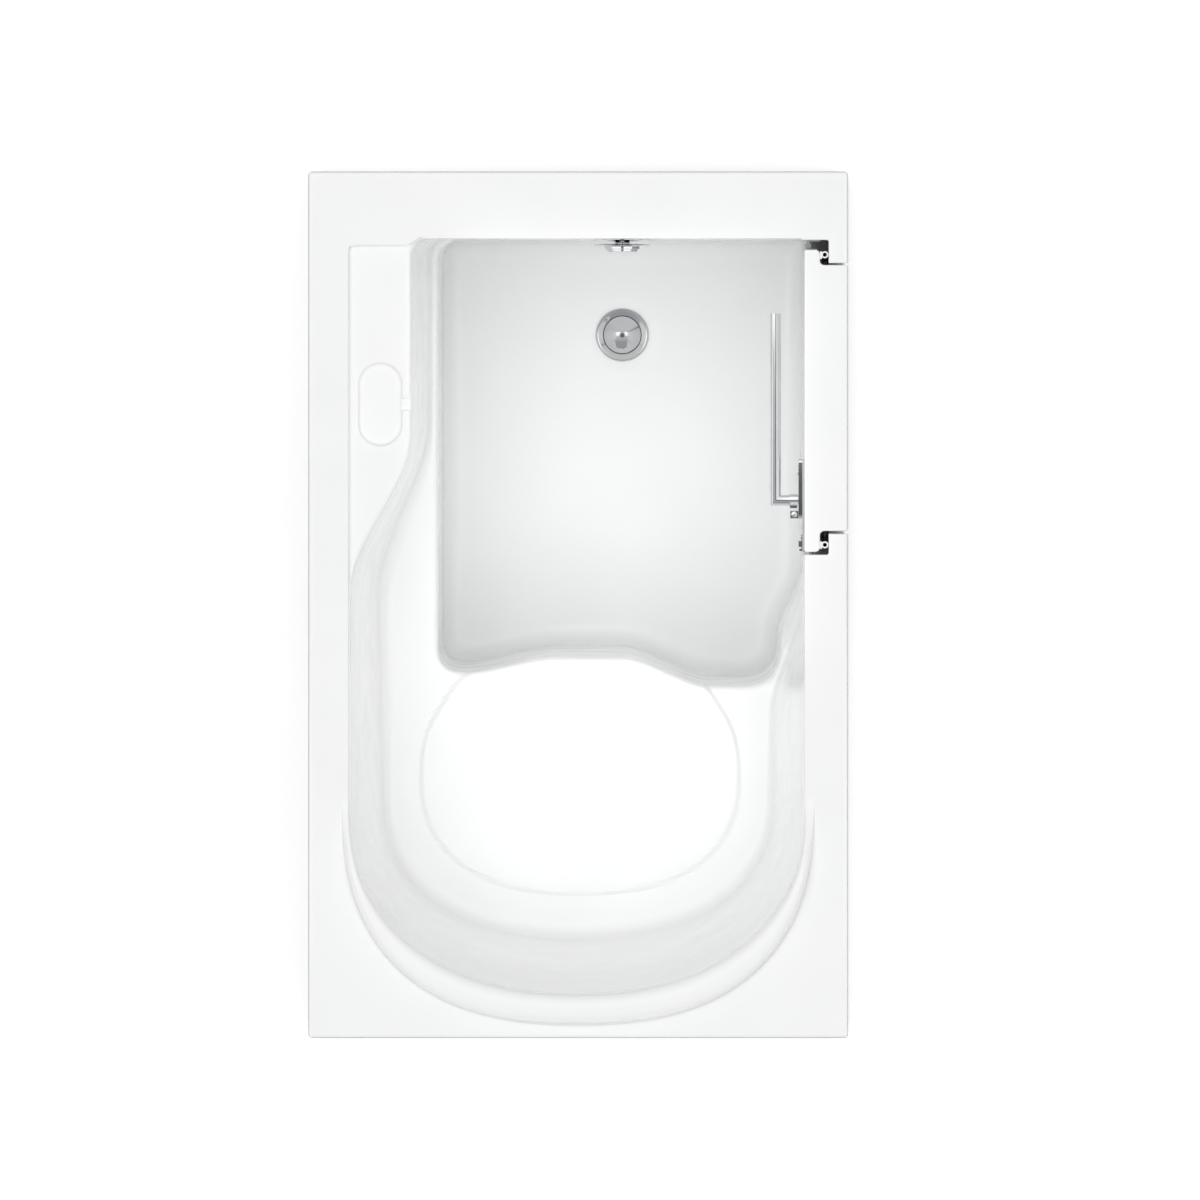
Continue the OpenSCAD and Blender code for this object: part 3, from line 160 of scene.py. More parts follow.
def addFloor(settings):
    half = settings["size"] / 2
    mesh = bpy.data.meshes.new("studioFloor")
    corners = [(-half, -half, 0), (half, -half, 0), (half, half, 0), (-half, half, 0)]
    mesh.from_pydata(corners, [], [(0, 1, 2, 3)])
    floor = bpy.data.objects.new("studioFloor", mesh)
    bpy.context.scene.collection.objects.link(floor)
    material = bpy.data.materials.new("paperFloor")
    material.use_nodes = True
    tree = material.node_tree
    tree.nodes.clear()
    paper = addNode(tree, "ShaderNodeBsdfDiffuse", {"Color": linearColour(settings["colour"])})
    glow = addNode(tree, "ShaderNodeEmission", {"Strength": settings["lift"]})
    lifted = addNode(tree, "ShaderNodeAddShader", links={0: paper.outputs[0], 1: glow.outputs[0]})
    path = addNode(tree, "ShaderNodeLightPath")
    seen = addNode(tree, "ShaderNodeMath", {"operation": "MAXIMUM"},
                   {0: path.outputs["Is Camera Ray"], 1: path.outputs["Is Glossy Ray"]})
    shown = addNode(tree, "ShaderNodeMath", {"operation": "MAXIMUM"},
                    {0: seen.outputs[0], 1: path.outputs["Is Transmission Ray"]})
    mixed = addNode(tree, "ShaderNodeMixShader",
                    links={0: shown.outputs[0], 1: paper.outputs[0], 2: lifted.outputs[0]})
    addNode(tree, "ShaderNodeOutputMaterial", links={"Surface": mixed.outputs[0]})
    mesh.materials.append(material)


bpy.context.scene.view_settings.view_transform = "Standard"
addCamera(cameraSet)
addLights(lightSet)
addWorld(lightSet)
addFloor(floorSet)
print("camera, light and floor are set")


noiseSet = {
    "blotchDetail": 4.0, "smearDetail": 3.0, "grainDetail": 2.0,
    "blotchStops": (0.3, 0.7), "smearRange": (0.35, 0.65),  # where the noise turns over
}


def newSurface(name, spec):
    # A principled surface with a two-colour blotch, uneven gloss and a fine relief. A size in
    # mm becomes a noise scale per metre.
    material = bpy.data.materials.new(name)
    material.use_nodes = True
    tree = material.node_tree
    shader = tree.nodes["Principled BSDF"]
    for key, value in spec["shader"].items():
        shader.inputs[key].default_value = value
    place = addNode(tree, "ShaderNodeTexCoord")
    spot = place.outputs["Object"]
    if "stretch" in spec:
        scaled = addNode(tree, "ShaderNodeMapping", {"Scale": spec["stretch"]}, {"Vector": spot})
        spot = scaled.outputs[0]
    blotch = addNode(tree, "ShaderNodeTexNoise",
                     {"Scale": 1000 / spec["blotchMm"], "Detail": noiseSet["blotchDetail"]},
                     {"Vector": spot})
    ramp = addNode(tree, "ShaderNodeValToRGB", links={"Fac": blotch.outputs["Fac"]})
    for i, tone in enumerate(spec["colours"]):
        stop = ramp.color_ramp.elements[i]
        stop.position = noiseSet["blotchStops"][i]
        stop.color = linearColour(tone)
    colour = ramp.outputs["Color"]
    # Marked points take a painted grey shade line: a darker strip that stands in for the shade
    # along the lip's edge
    if "paintedShadeLine" in spec:
        cut = addNode(tree, "ShaderNodeAttribute", {"attribute_name": "paintedShadeLine"})
        toned = addNode(tree, "ShaderNodeMix",
                        {"data_type": "RGBA", 7: linearColour(spec["paintedShadeLine"])},
                        {0: cut.outputs["Fac"], 6: colour})
        colour = toned.outputs[2]
    tree.links.new(colour, shader.inputs["Base Color"])
    smear = addNode(tree, "ShaderNodeTexNoise",
                    {"Scale": 1000 / spec["smearMm"], "Detail": noiseSet["smearDetail"]},
                    {"Vector": spot})
    start, end = noiseSet["smearRange"]
    low, high = spec["roughness"]
    gloss = addNode(tree, "ShaderNodeMapRange",
                    {"From Min": start, "From Max": end, "To Min": low, "To Max": high},
                    {"Value": smear.outputs["Fac"]})
    tree.links.new(gloss.outputs[0], shader.inputs["Roughness"])
    grain = addNode(tree, "ShaderNodeTexNoise",
                    {"Scale": 1000 / spec["grainMm"], "Detail": noiseSet["grainDetail"]},
                    {"Vector": spot})
    relief = addNode(tree, "ShaderNodeBump",
                     {"Strength": spec["relief"], "Distance": spec["reliefMm"] * mm},
                     {"Height": grain.outputs["Fac"]})
    tree.links.new(relief.outputs[0], shader.inputs["Normal"])
    return material


# Cast acrylic sheet, vacuum formed: a hard white gloss with a faint orange peel, and a
# painted grey shade line along the lip's trimmed edge, where it stands in for the outline's shade
sanitaryAcrylic = newSurface("sanitaryAcrylic", {
    "shader": {"IOR": 1.49, "Coat Weight": 0.15, "Coat Roughness": 0.05},
    "colours": ("#FBFCFC", "#FDFDFD"), "blotchMm": 380, "smearMm": 90,
    "roughness": (0.16, 0.24), "grainMm": 5, "relief": 0.12, "reliefMm": 0.05,
    "paintedShadeLine": "#9C9EA0"})
# Chrome plate on polished brass: a mirror with a trace of wiping haze
polishedChrome = newSurface("polishedChrome", {
    "shader": {"Metallic": 1.0},
    "colours": ("#DEDFE0", "#E6E7E8"), "blotchMm": 60, "smearMm": 14,
    "roughness": (0.05, 0.11), "grainMm": 3, "relief": 0.05, "reliefMm": 0.02})
# The same chrome over a blasted plate: satin, so that it stays light where mirrors go dark
satinChrome = newSurface("satinChrome", {
    "shader": {"Metallic": 1.0},
    "colours": ("#D6D7D8", "#DEDFE0"), "blotchMm": 30, "smearMm": 6,
    "roughness": (0.34, 0.44), "grainMm": 0.6, "relief": 0.08, "reliefMm": 0.02})
# Stainless strip, brushed along its length: long fine scratches and a satin sheen
brushedStainless = newSurface("brushedStainless", {
    "shader": {"Metallic": 1.0}, "stretch": (1.0, 1.0, 0.04),
    "colours": ("#A3A6A9", "#B9BCBE"), "blotchMm": 1.6, "smearMm": 1.2,
    "roughness": (0.24, 0.38), "grainMm": 0.8, "relief": 0.2, "reliefMm": 0.03})
# Hot-dip galvanised tube: dull grey with 8 mm zinc spangle
galvanisedSteel = newSurface("galvanisedSteel", {
    "shader": {"Metallic": 1.0},
    "colours": ("#8D9296", "#B0B4B7"), "blotchMm": 8, "smearMm": 10,
    "roughness": (0.35, 0.55), "grainMm": 3, "relief": 0.15, "reliefMm": 0.05})
# Zinc-plated steel: pale, slightly blue and half glossy
zincPlatedSteel = newSurface("zincPlatedSteel", {
    "shader": {"Metallic": 1.0},
    "colours": ("#A7ACB2", "#C2C6CA"), "blotchMm": 6, "smearMm": 4,
    "roughness": (0.22, 0.36), "grainMm": 1, "relief": 0.1, "reliefMm": 0.02})
# Plain turned brass: warm, with tool marks
turnedBrass = newSurface("turnedBrass", {
    "shader": {"Metallic": 1.0}, "stretch": (0.1, 0.1, 1.0),
    "colours": ("#B8924A", "#CFAE66"), "blotchMm": 5, "smearMm": 2,
    "roughness": (0.22, 0.36), "grainMm": 0.8, "relief": 0.2, "reliefMm": 0.03})
# Moulded nitrile rubber: near black and matt, with a fine tooth
mouldedRubber = newSurface("mouldedRubber", {
    "shader": {"IOR": 1.52},
    "colours": ("#232324", "#2E2E30"), "blotchMm": 12, "smearMm": 8,
    "roughness": (0.62, 0.78), "grainMm": 1, "relief": 0.3, "reliefMm": 0.06})
# Extruded silicone: milky white, soft satin
extrudedSilicone = newSurface("extrudedSilicone", {
    "shader": {"IOR": 1.43, "Subsurface Weight": 0.1, "Subsurface Scale": 0.002},
    "colours": ("#F6F6F6", "#FBFBFB"), "blotchMm": 20, "smearMm": 6,
    "roughness": (0.38, 0.5), "grainMm": 1.5, "relief": 0.1, "reliefMm": 0.03})
# Moulded ABS pipe: black, half matt, with a slight flow pattern
mouldedAbs = newSurface("mouldedAbs", {
    "shader": {"IOR": 1.53},
    "colours": ("#1F1F21", "#29292C"), "blotchMm": 25, "smearMm": 10,
    "roughness": (0.32, 0.46), "grainMm": 1.2, "relief": 0.15, "reliefMm": 0.03})
# Birch plywood: long pale grain, sealed
birchPlywood = newSurface("birchPlywood", {
    "shader": {"IOR": 1.5}, "stretch": (0.08, 1.0, 1.0),
    "colours": ("#B89566", "#D0B182"), "blotchMm": 9, "smearMm": 12,
    "roughness": (0.55, 0.7), "grainMm": 2, "relief": 0.35, "reliefMm": 0.15})
# Rigid polyurethane foam: cream, matt, with small cells
rigidFoam = newSurface("rigidFoam", {
    "shader": {"IOR": 1.45},
    "colours": ("#DCD2AC", "#E8DFC0"), "blotchMm": 6, "smearMm": 5,
    "roughness": (0.8, 0.95), "grainMm": 1.2, "relief": 0.6, "reliefMm": 0.3})

surfaceOf = {
    "acrylic": sanitaryAcrylic, "board": birchPlywood, "galvanised_steel": galvanisedSteel,
    "foot_rubber": mouldedRubber, "zinc_steel": zincPlatedSteel, "stainless": brushedStainless,
    "chrome": polishedChrome, "brass": turnedBrass, "black_abs": mouldedAbs, "foam": rigidFoam,
    "seal_rubber": extrudedSilicone,
}
surfaceByNode = {"lever_backplate": satinChrome}
print("materials are made")

edgeSet = {  # degrees, mm, and the weld in metres
    "angle": 38, "width": 0.5, "segments": 2, "weld": 0.00002, "flatAngle": 0.2,
    "panels": ("door_side_panel", "foot_end_panel", "head_end_panel"),
}
edgeWidths = {  # mm
    "door_surround": 2.0, "latch_guide": 0.3, "lever_cover": 1.2, "lever_backplate": 1.5,
    "guide_screws": 0.15,
    "door_side_panel": 0.8, "foot_end_panel": 0.8, "head_end_panel": 0.8,
    "base_frame": 1.6, "deck_rails": 1.6, "frame_posts": 1.6, "floor_joists": 1.6,
    "seat_joists": 1.6, "door_seal": 0.3, "hinge_jamb_leaf": 0.25, "hinge_door_leaf": 0.25,
    "keeper": 0.25, "latch_bolt": 0.6, "waste_flange": 0.4, "grub_screw": 0.2,
    "cover_screws": 0.2, "hinge_screws": 0.1, "keeper_screws": 0.1, "stop_screw": 0.2,
    "panel_screws": 0.2, "plug_ring": 0.2, "door_core": 1.0, "foot_pads": 1.0,
}


def clearImportedNormals(node):
    bpy.context.view_layer.objects.active = node
    bpy.ops.mesh.customdata_custom_splitnormals_clear()


def easeEdges(node, widthMm, settings):
    # Real edges are never knife sharp: a small bevel catches the light along them
    clearImportedNormals(node)
    node.data.shade_smooth()
    weld = node.modifiers.new("weld", "WELD")
    weld.merge_threshold = settings["weld"]
    if node.name in settings["panels"]:  # long thin triangles between the holes streak a bevel
        flat = node.modifiers.new("flat", "DECIMATE")
        flat.decimate_type = "DISSOLVE"
        flat.angle_limit = math.radians(settings["flatAngle"])
    bevel = node.modifiers.new("edges", "BEVEL")
    bevel.width = widthMm * mm
    bevel.segments = settings["segments"]
    bevel.limit_method = "ANGLE"
    bevel.angle_limit = math.radians(settings["angle"])
    bevel.harden_normals = True


slotOf = {part["node"]: part["material_slot"] for part in frame["record"]["subparts"]}
for name, node in nodes.items():
    node.data.materials.clear()
    node.data.materials.append(surfaceByNode.get(name, surfaceOf[slotOf[name]]))
    easeEdges(node, edgeWidths.get(name, edgeSet["width"]), edgeSet)
print("CAD nodes have their surfaces:", len(nodes))

tub = {  # mm, in the same frame as the CAD
    "halfWidth": 380, "halfLength": 610, "deck": 965, "corner": 5, "lip": 40, "sheet": 6,
    # The lip's trimmed edge: how far it stands out, and the heights where it turns and ends
    "flare": 1, "trim": (2, 4, 4.5),
    "seat": 560, "seatFall": 2, "floor": 135, "right": 318.6, "left": 321, "foot": 515.7,
    "back": 275, "backDepth": 272, "seatBackDepth": 192, "backPower": 2.27, "seatSide": 272.8,
    "shelfDrop": 14, "shelfOut": 324, "shelfIn": 235.8, "shelfFoot": 506.6, "stepGap": 3,
    "shelfEase": 8, "shelfTip": (6, 20),  # its drop fades out before its tip, over a length
    "rollHeight": 35, "rollSide": 333, "rollBack": 590.5, "rollPower": 2.5, "rollFoot": 14,
    "rollStart": (5, 110),  # how far past the seat's back line it starts, and the length it takes
    # Across the roll: share of the way from its foot to the shelf, share of its height,
    # rounding and points. Under it: the shares alone, from the shelf back to the foot.
    "rollTop": ((0.07, 0.78, 7, 7), (0.36, 0.95, 12, 9), (0.76, 0.93, 10, 8)),
    "rollUnder": ((0.1, 0), (0.5, 0.8), (0.78, 0.5), (0.87, 0)),
    "wellLeft": 196.8, "wellDraft": 1.2, "wellDrop": 15, "wellEase": 14, "footEase": 60,
    "floorIn": (6, 16), "floorBand": 76, "bandCorner": 20,  # inwards at the sides and the front
    "ledgeIn": 209, "ledgeOut": 278.3, "draft": 0.5,
    "swingStart": 15, "rimSwing": 225, "ledgeSwing": 247, "seatSwing": 172,  # y, then lengths
    # The seat's front: each side's start beside the middle, its length and its depth
    "seatFront": -73, "leftSwing": (30, 130, 21), "rightSwing": (60, 130, 41),
    "lobeRight": 285, "lobeMidRight": 190, "lobeMidLeft": -130, "lobeCorner": 55,
    "lobeDrop": 120, "lobeFoot": (50, 250), "lobeSeat": (75, 95),  # start and length of the drop
    "bendShares": (0.3, 0.85),  # of the columns past the door: the run to the lobe, and its bend
    "tip": 0.0433, "tipCrowd": (0.4, 0.712),  # shares of the foot end's columns
    "tipRise": (6.2, 22),  # where the shelf's end line leaves for the rim's corner, and its length
    "splitRight": 60, "splitLeft": -40,  # y where the stretches along the sides meet
    "drain": (62, 380), "drainRadius": 26, "drainTurn": 150,  # the turn is in degrees
    "sumpTop": 51, "sumpBottom": 42, "sumpUnder": 54, "sumpDrop": 2,
    "columns": (56, 46, 44, 110, 26, 96),  # along foot, door, seat right, back, seat left, wall
    "columnCrowding": 0.8, "ringCrowding": 0.85, "seatRings": 74, "upperShare": 0.84,
    "sharpFrom": 34,  # degrees between faces, from which an edge is drawn sharp
}
pad = {  # mm
    "middle": (2.8, -240), "half": (223.5, 166.5), "power": 2.4, "height": 8, "border": 7,
    "fade": 26, "above": 40,  # how far under and over the seat's height points may rise with it
    "frontMerge": 13, "front": (90, 70),  # its border moves forward, from a start, over a length
}
footEnd, doorSide, seatRight, backEnd, seatLeft, wallSide = range(6)


def smoothStep(t):
    t = min(1.0, max(0.0, t))
    return t * t * (3 - 2 * t)


def blendOf(a, b, t):
    return a + (b - a) * t


def crowdEnds(t, amount):
    # Moves even steps from 0 to 1 closer to both ends
    return t - amount * math.sin(2 * math.pi * t) / (2 * math.pi)


def curveEnd(a, b, power, t):
    # The round seat end, as half of a superellipse
    c, s = math.cos(math.pi * t), math.sin(math.pi * t)
    return (a * math.copysign(abs(c) ** (2 / power), c), -tub["back"] - b * abs(s) ** (2 / power))


def seatFront(x):
    # The seat's front edge swings back into a lobe on each side of its middle
    y = tub["seatFront"]
    for away, (start, run, depth) in ((-x, tub["leftSwing"]), (x, tub["rightSwing"])):
        y -= depth * smoothStep((away - start) / run)
    return y


def boxLine(s, t, w, l):
    ends = {
        footEnd: ((-w, l), (w, l)), doorSide: ((w, l), (w, tub["splitRight"])),
        seatRight: ((w, tub["splitRight"]), (w, -l)), backEnd: ((w, -l), (-w, -l)),
        seatLeft: ((-w, -l), (-w, tub["splitLeft"])), wallSide: ((-w, tub["splitLeft"]), (-w, l)),
    }[s]
    return tuple(blendOf(a, b, t) for a, b in zip(*ends))


def roundLine(s, t, right, left, foot, depth, power):
    if s == footEnd:
        return (blendOf(-left, right, t), foot)
    if s == doorSide:
        return (right, blendOf(foot, tub["splitRight"], t))
    if s == seatRight:
        return (right, blendOf(tub["splitRight"], -tub["back"], t))
    if s == backEnd:
        x, y = curveEnd((right + left) / 2, depth, power, t)
        return (x + (right - left) / 2, y)
    if s == seatLeft:
        return (-left, blendOf(-tub["back"], tub["splitLeft"], t))
    return (-left, blendOf(tub["splitLeft"], foot, t))


def tipX():
    return blendOf(-tub["shelfIn"], tub["right"], tub["tip"])


def shelfLine(s, t):
    # A few columns at the rim's corner meet the shelf's end, and past its tip the shelf's line
    # and the rim keep beside each other
    fold = tub["foot"] + tub["stepGap"]
    if s == footEnd:
        if t < tub["tip"]:
            u, (turn, share) = t / tub["tip"], tub["tipCrowd"]
            u = share * u / turn if u < turn else blendOf(share, 1, (u - turn) / (1 - turn))
            x = blendOf(-tub["shelfOut"], tipX(), u)
        else:
            x = blendOf(tipX(), tub["right"] + tub["stepGap"], (t - tub["tip"]) / (1 - tub["tip"]))
        before, run = tub["tipRise"]
        return (x, blendOf(tub["shelfFoot"], fold, smoothStep((x + tub["shelfIn"] + before) / run)))
    if s == wallSide:
        return (-tub["shelfOut"], blendOf(tub["splitLeft"], tub["shelfFoot"], t))
    return roundLine(s, t, tub["right"] + tub["stepGap"], tub["shelfOut"], fold,
                     tub["backDepth"] + tub["stepGap"], tub["backPower"])


def rimLine(s, t):
    if s == footEnd:
        return (blendOf(-tub["shelfIn"], tub["right"], t), tub["foot"])
    if s == wallSide:
        y = blendOf(tub["splitLeft"], tub["foot"], t)
        swing = smoothStep((y - tub["swingStart"]) / tub["rimSwing"])
        return (blendOf(-tub["left"], -tub["shelfIn"], swing), y)
    return roundLine(s, t, tub["right"], tub["left"], tub["foot"], tub["backDepth"],
                     tub["backPower"])


def ledgeLine(s, t):
    right, foot = tub["right"] - tub["draft"], tub["foot"] - tub["draft"]
    if s == footEnd:
        return (blendOf(-tub["ledgeIn"], right, t), foot)
    if s == doorSide:
        return (right, blendOf(foot, tub["splitRight"], t))
    if s == seatRight:
        y = blendOf(tub["splitRight"], -tub["back"], t)
        swing = smoothStep((tub["swingStart"] - y) / tub["seatSwing"])
        return (blendOf(right, tub["seatSide"], swing), y)
    if s == backEnd:
        return curveEnd(tub["seatSide"], tub["seatBackDepth"], tub["backPower"], t)
    if s == seatLeft:
        return (blendOf(-tub["seatSide"], -tub["ledgeOut"], t),
                blendOf(-tub["back"], tub["splitLeft"], t))
    y = blendOf(tub["splitLeft"], foot, t)
    swing = smoothStep((y - tub["swingStart"]) / tub["ledgeSwing"])
    return (blendOf(-tub["ledgeOut"], -tub["ledgeIn"], swing), y)


def lobeLine(t, right, lobe, front, corner):
    # The well's door side runs in to the right-hand lobe, whose corner is a wide bend
    top, turn = tub["splitRight"], front + corner
    first, last = tub["bendShares"]
    if t < first:
        y = blendOf(top, turn, t / first)
        return (blendOf(right, lobe, smoothStep((top - y) / (top - turn))), y)
    if t < last:
        return tuple(bendOf((lobe, turn), (lobe, front), (lobe - corner, front),
                            (t - first) / (last - first)))
    end = min(lobe - corner, tub["lobeMidRight"])
    return (blendOf(lobe - corner, end, (t - last) / (1 - last)), front)


def wellLine(s, t, inset, forward, within=0):
    # The well's edge. Its floor lies in from that by inset and forward, and the floor's inner
    # band by within on all sides.
    steep = tub["wellDraft"] + inset / 3 + within
    right, foot = tub["right"] - steep, tub["foot"] - steep
    left, lobe = tub["wellLeft"] - inset - within, tub["lobeRight"] - inset - within
    forward += within
    corner = tub["bandCorner"] if within else tub["lobeCorner"]
    midRight = min(lobe - corner, tub["lobeMidRight"])
    midLeft = max(tub["lobeMidLeft"], tub["bandCorner"] - left)
    if s == footEnd:
        return (blendOf(-left, right, t), foot)
    if s == doorSide:
        return (right, blendOf(foot, tub["splitRight"], t))
    if s == seatRight:
        return lobeLine(t, right, lobe, seatFront(lobe) + forward, corner)
    if s == wallSide:
        return (-left, blendOf(seatFront(-left) + forward, foot, t))
    x = blendOf(midRight, midLeft, t) if s == backEnd else blendOf(midLeft, -left, t)
    return (x, seatFront(x) + forward)


def bendOf(a, b, c, t):
    a, b, c = np.array(a), np.array(b), np.array(c)
    return a * (1 - t) ** 2 + b * 2 * t * (1 - t) + c * t * t


outlineSpecs = {  # the line, and the length of rounding at the start of each stretch
    "outer": (lambda s, t: boxLine(s, t, tub["halfWidth"], tub["halfLength"]),
              (tub["corner"], tub["corner"], 1, tub["corner"], tub["corner"], 1)),
    "inner": (lambda s, t: boxLine(s, t, tub["halfWidth"] - tub["sheet"],
                                   tub["halfLength"] - tub["sheet"]), (0, 0, 0, 0, 0, 0)),
    "roll": (lambda s, t: roundLine(s, t, tub["rollSide"], tub["rollSide"],
                                    tub["foot"] + tub["rollFoot"], tub["rollBack"] - tub["back"],
                                    tub["rollPower"]), (20, 20, 1, 1, 1, 1)),
    "shelf": (shelfLine, (8, 5, 1, 1, 1, 1)),
    "rim": (rimLine, (28, 8, 1, 1, 1, 1)),
    "ledge": (ledgeLine, (30, 8, 1, 1, 1, 1)),
    "well": (lambda s, t: wellLine(s, t, 0, 0), (34, 5, 1, 4, 4, 34)),
    "floor": (lambda s, t: wellLine(s, t, *tub["floorIn"]), (34, 5, 1, 4, 4, 34)),
    "floorIn": (lambda s, t: wellLine(s, t, *tub["floorIn"], tub["floorBand"]),
                (20, 12, 1, 4, 4, 20)),
}


def shareOf(line, s, end, reach):
    # The share of a stretch, from its start or its end, that reaches a given distance
    low, high, halvings = 0.0, 1.0, 20
    for _ in range(halvings):
        middle = (low + high) / 2
        if math.dist(line(s, abs(end - middle)), line(s, end)) < reach:
            low = middle
        else:
            high = middle
    return (low + high) / 2


def outlineOf(key):
    # One loop of points, clockwise from above, with the corners rounded between stretches
    line, rounding = outlineSpecs[key]
    stretches = len(tub["columns"])
    points = []
    for s, count in enumerate(tub["columns"]):
        before, after = (s - 1) % stretches, (s + 1) % stretches
        first, last = line(s, 0), line(s, 1)
        rounded = [(r, shareOf(line, a, 1, r), shareOf(line, b, 0, r))
                   for r, a, b in ((rounding[s], before, s), (rounding[after], s, after))]
        for i in range(count):
            t = crowdEnds(i / count, tub["columnCrowding"])
            near, far = math.dist(line(s, t), first), math.dist(line(s, t), last)
            if t < 0.5 and near < rounding[s]:
                r, back, on = rounded[0]
                points.append(bendOf(line(before, 1 - back), first, line(s, on),
                                     0.5 + near / r / 2))
            elif t > 0.5 and far < rounding[after]:
                r, back, on = rounded[1]
                points.append(bendOf(line(s, 1 - back), last, line(after, on),
                                     0.5 - far / r / 2))
            else:
                points.append(np.array(line(s, t)))
    return np.array(points, float)


def pushOut(points, distance):
    # Moves a clockwise loop outwards, square to itself
    along = np.roll(points, -1, 0) - np.roll(points, 1, 0)
    side = np.stack([-along[:, 1], along[:, 0]], 1)
    return points + distance * side / np.linalg.norm(along, axis=1)[:, None]


def aboutDrain(floorPoints, radius):
    # Points on a circle round the drain, halfway between their direction and an even spacing
    count = len(floorPoints)
    away = floorPoints - np.array(tub["drain"])
    angle = np.degrees(np.arctan2(away[:, 1], away[:, 0]))
    even = tub["drainTurn"] - 360 * np.arange(count) / count
    angle = angle + 360 * np.round((even - angle) / 360)
    middle = np.radians((angle + even) / 2)
    return np.array(tub["drain"]) + radius * np.stack([np.cos(middle), np.sin(middle)], 1)


def padRise(x, y):
    # The raised seat pad: a soft step round a superellipse, which runs out at the seat's front
    px, py = (x - pad["middle"][0]) / pad["half"][0], (y - pad["middle"][1]) / pad["half"][1]
    reach = (abs(px) ** pad["power"] + abs(py) ** pad["power"]) ** (1 / pad["power"])
    if reach > 1.5:  # well outside
        return 0.0
    radius = math.hypot(x - pad["middle"][0], y - pad["middle"][1])
    inside = radius / max(reach, 0.01) - radius
    start, run = pad["front"]
    inside += pad["frontMerge"] * smoothStep((y - pad["middle"][1] - start) / run)
    return pad["height"] * smoothStep(0.5 + inside / pad["border"])


def lobeFade(i, well):
    # Past the right-hand lobe the ledge turns into the steep door-side wall
    foot, door, right = tub["columns"][:3]
    if i < foot:
        start, run = tub["lobeFoot"]
        return smoothStep((well[0] + tub["wellLeft"] - start) / run)
    if i < foot + door:
        return 1.0
    start, run = tub["lobeSeat"]
    return smoothStep((well[1] + start) / run) if i < foot + door + right else 0.0


def sectionOf(i, lines):
    # One section through the sheet: [point, rounding, points on it, points before the next]
    deck, sheet, seat = tub["deck"], tub["sheet"], tub["seat"]
    at = {key: line[i] for key, line in lines.items()}
    roll, shelf, rim, ledge, well = (at[k] for k in ("roll", "shelf", "rim", "ledge", "well"))
    beforeTip, tipRun = tub["shelfTip"]
    onShelf = smoothStep(math.dist(shelf, rim) / tub["shelfEase"])
    onShelf *= smoothStep((tipX() - beforeTip - shelf[0]) / tipRun)
    shelfZ = deck - tub["shelfDrop"] * onShelf
    rollAhead, rollRun = tub["rollStart"]
    onRoll = smoothStep((-rim[1] - tub["back"] + rollAhead) / rollRun)
    rise = tub["rollHeight"] * onRoll
    onLedge = smoothStep(math.dist(ledge, well) / tub["wellEase"])
    if i < tub["columns"][footEnd]:
        onLedge *= 1 - smoothStep((ledge[0] + tub["ledgeIn"]) / tub["footEase"])
    wellZ = seat - tub["wellDrop"] * (1 - onLedge) - tub["lobeDrop"] * lobeFade(i, well)
    lipZ, sumpZ = deck - tub["lip"], tub["floor"] - tub["sumpDrop"]
    turnZ, endZ, pastZ = (lipZ + z for z in tub["trim"])
    under, seatUnder = deck - sheet, seat + tub["seatFall"] - sheet
    keys = [
        (at["outer"], lipZ, 0, 1, 0), (at["outer"], turnZ, 0, 1, 0),
        (at["edge"], endZ, 0, 1, 0), (at["edge"], pastZ, 0, 1, 2), (at["edge"], deck, 5, 6, 3),
        (roll, deck, 6 * onRoll + 0.01, 5, 0),
    ]
    keys += [(blendOf(roll, shelf, way), deck + lift * rise, rounding, count, 0)
             for way, lift, rounding, count in tub["rollTop"]]
    keys += [
        (shelf, deck + 0.7 * rise, 2 + 0.22 * rise, 8, 0),
        (blendOf(at["shelfFoot"], rim, 0.45 * onRoll), shelfZ + 0.5 * rise, 4 + 0.2 * rise, 7, 6),
        (rim, shelfZ + 0.1 * rise, 8, 9, 5),
        (ledge, seat + tub["seatFall"], 24, 13, tub["seatRings"]),
        (well, wellZ, 14, 9, 5), (at["floor"], tub["floor"], 34, 14, 3),
        (at["floorIn"], tub["floor"], 0, 1, 5), (at["sumpOut"], tub["floor"], 4, 4, 0),
        (at["sumpIn"], sumpZ, 4, 4, 2), (at["drain"], sumpZ, 0, 1, 0),
        # The underside, on the way back
        (at["drain"], sumpZ - sheet, 0, 1, 0), (at["sumpUnder"], sumpZ - sheet, 0, 1, 0),
        (at["floorUnder"], tub["floor"] - sheet, 38, 6, 2),
        (at["wellUnder"], wellZ - sheet, 12, 4, 0), (at["ledgeUnder"], seatUnder, 20, 5, 2),
        (at["rimUnder"], shelfZ - sheet, 0, 1, 0),
        (blendOf(at["shelfUnder"], shelf, 0.1), shelfZ - sheet, 0, 1, 0),
    ]
    keys += [(blendOf(at["shelfUnder"], roll, way), under + lift * rise, 0, 1, 0)
             for way, lift in tub["rollUnder"]]
    keys += [(at["inner"], under, 0, 1, 0), (at["inner"], lipZ, 0, 1, 0)]
    return [(np.array([p[0], p[1], z]), r, n, m) for p, z, r, n, m in keys]


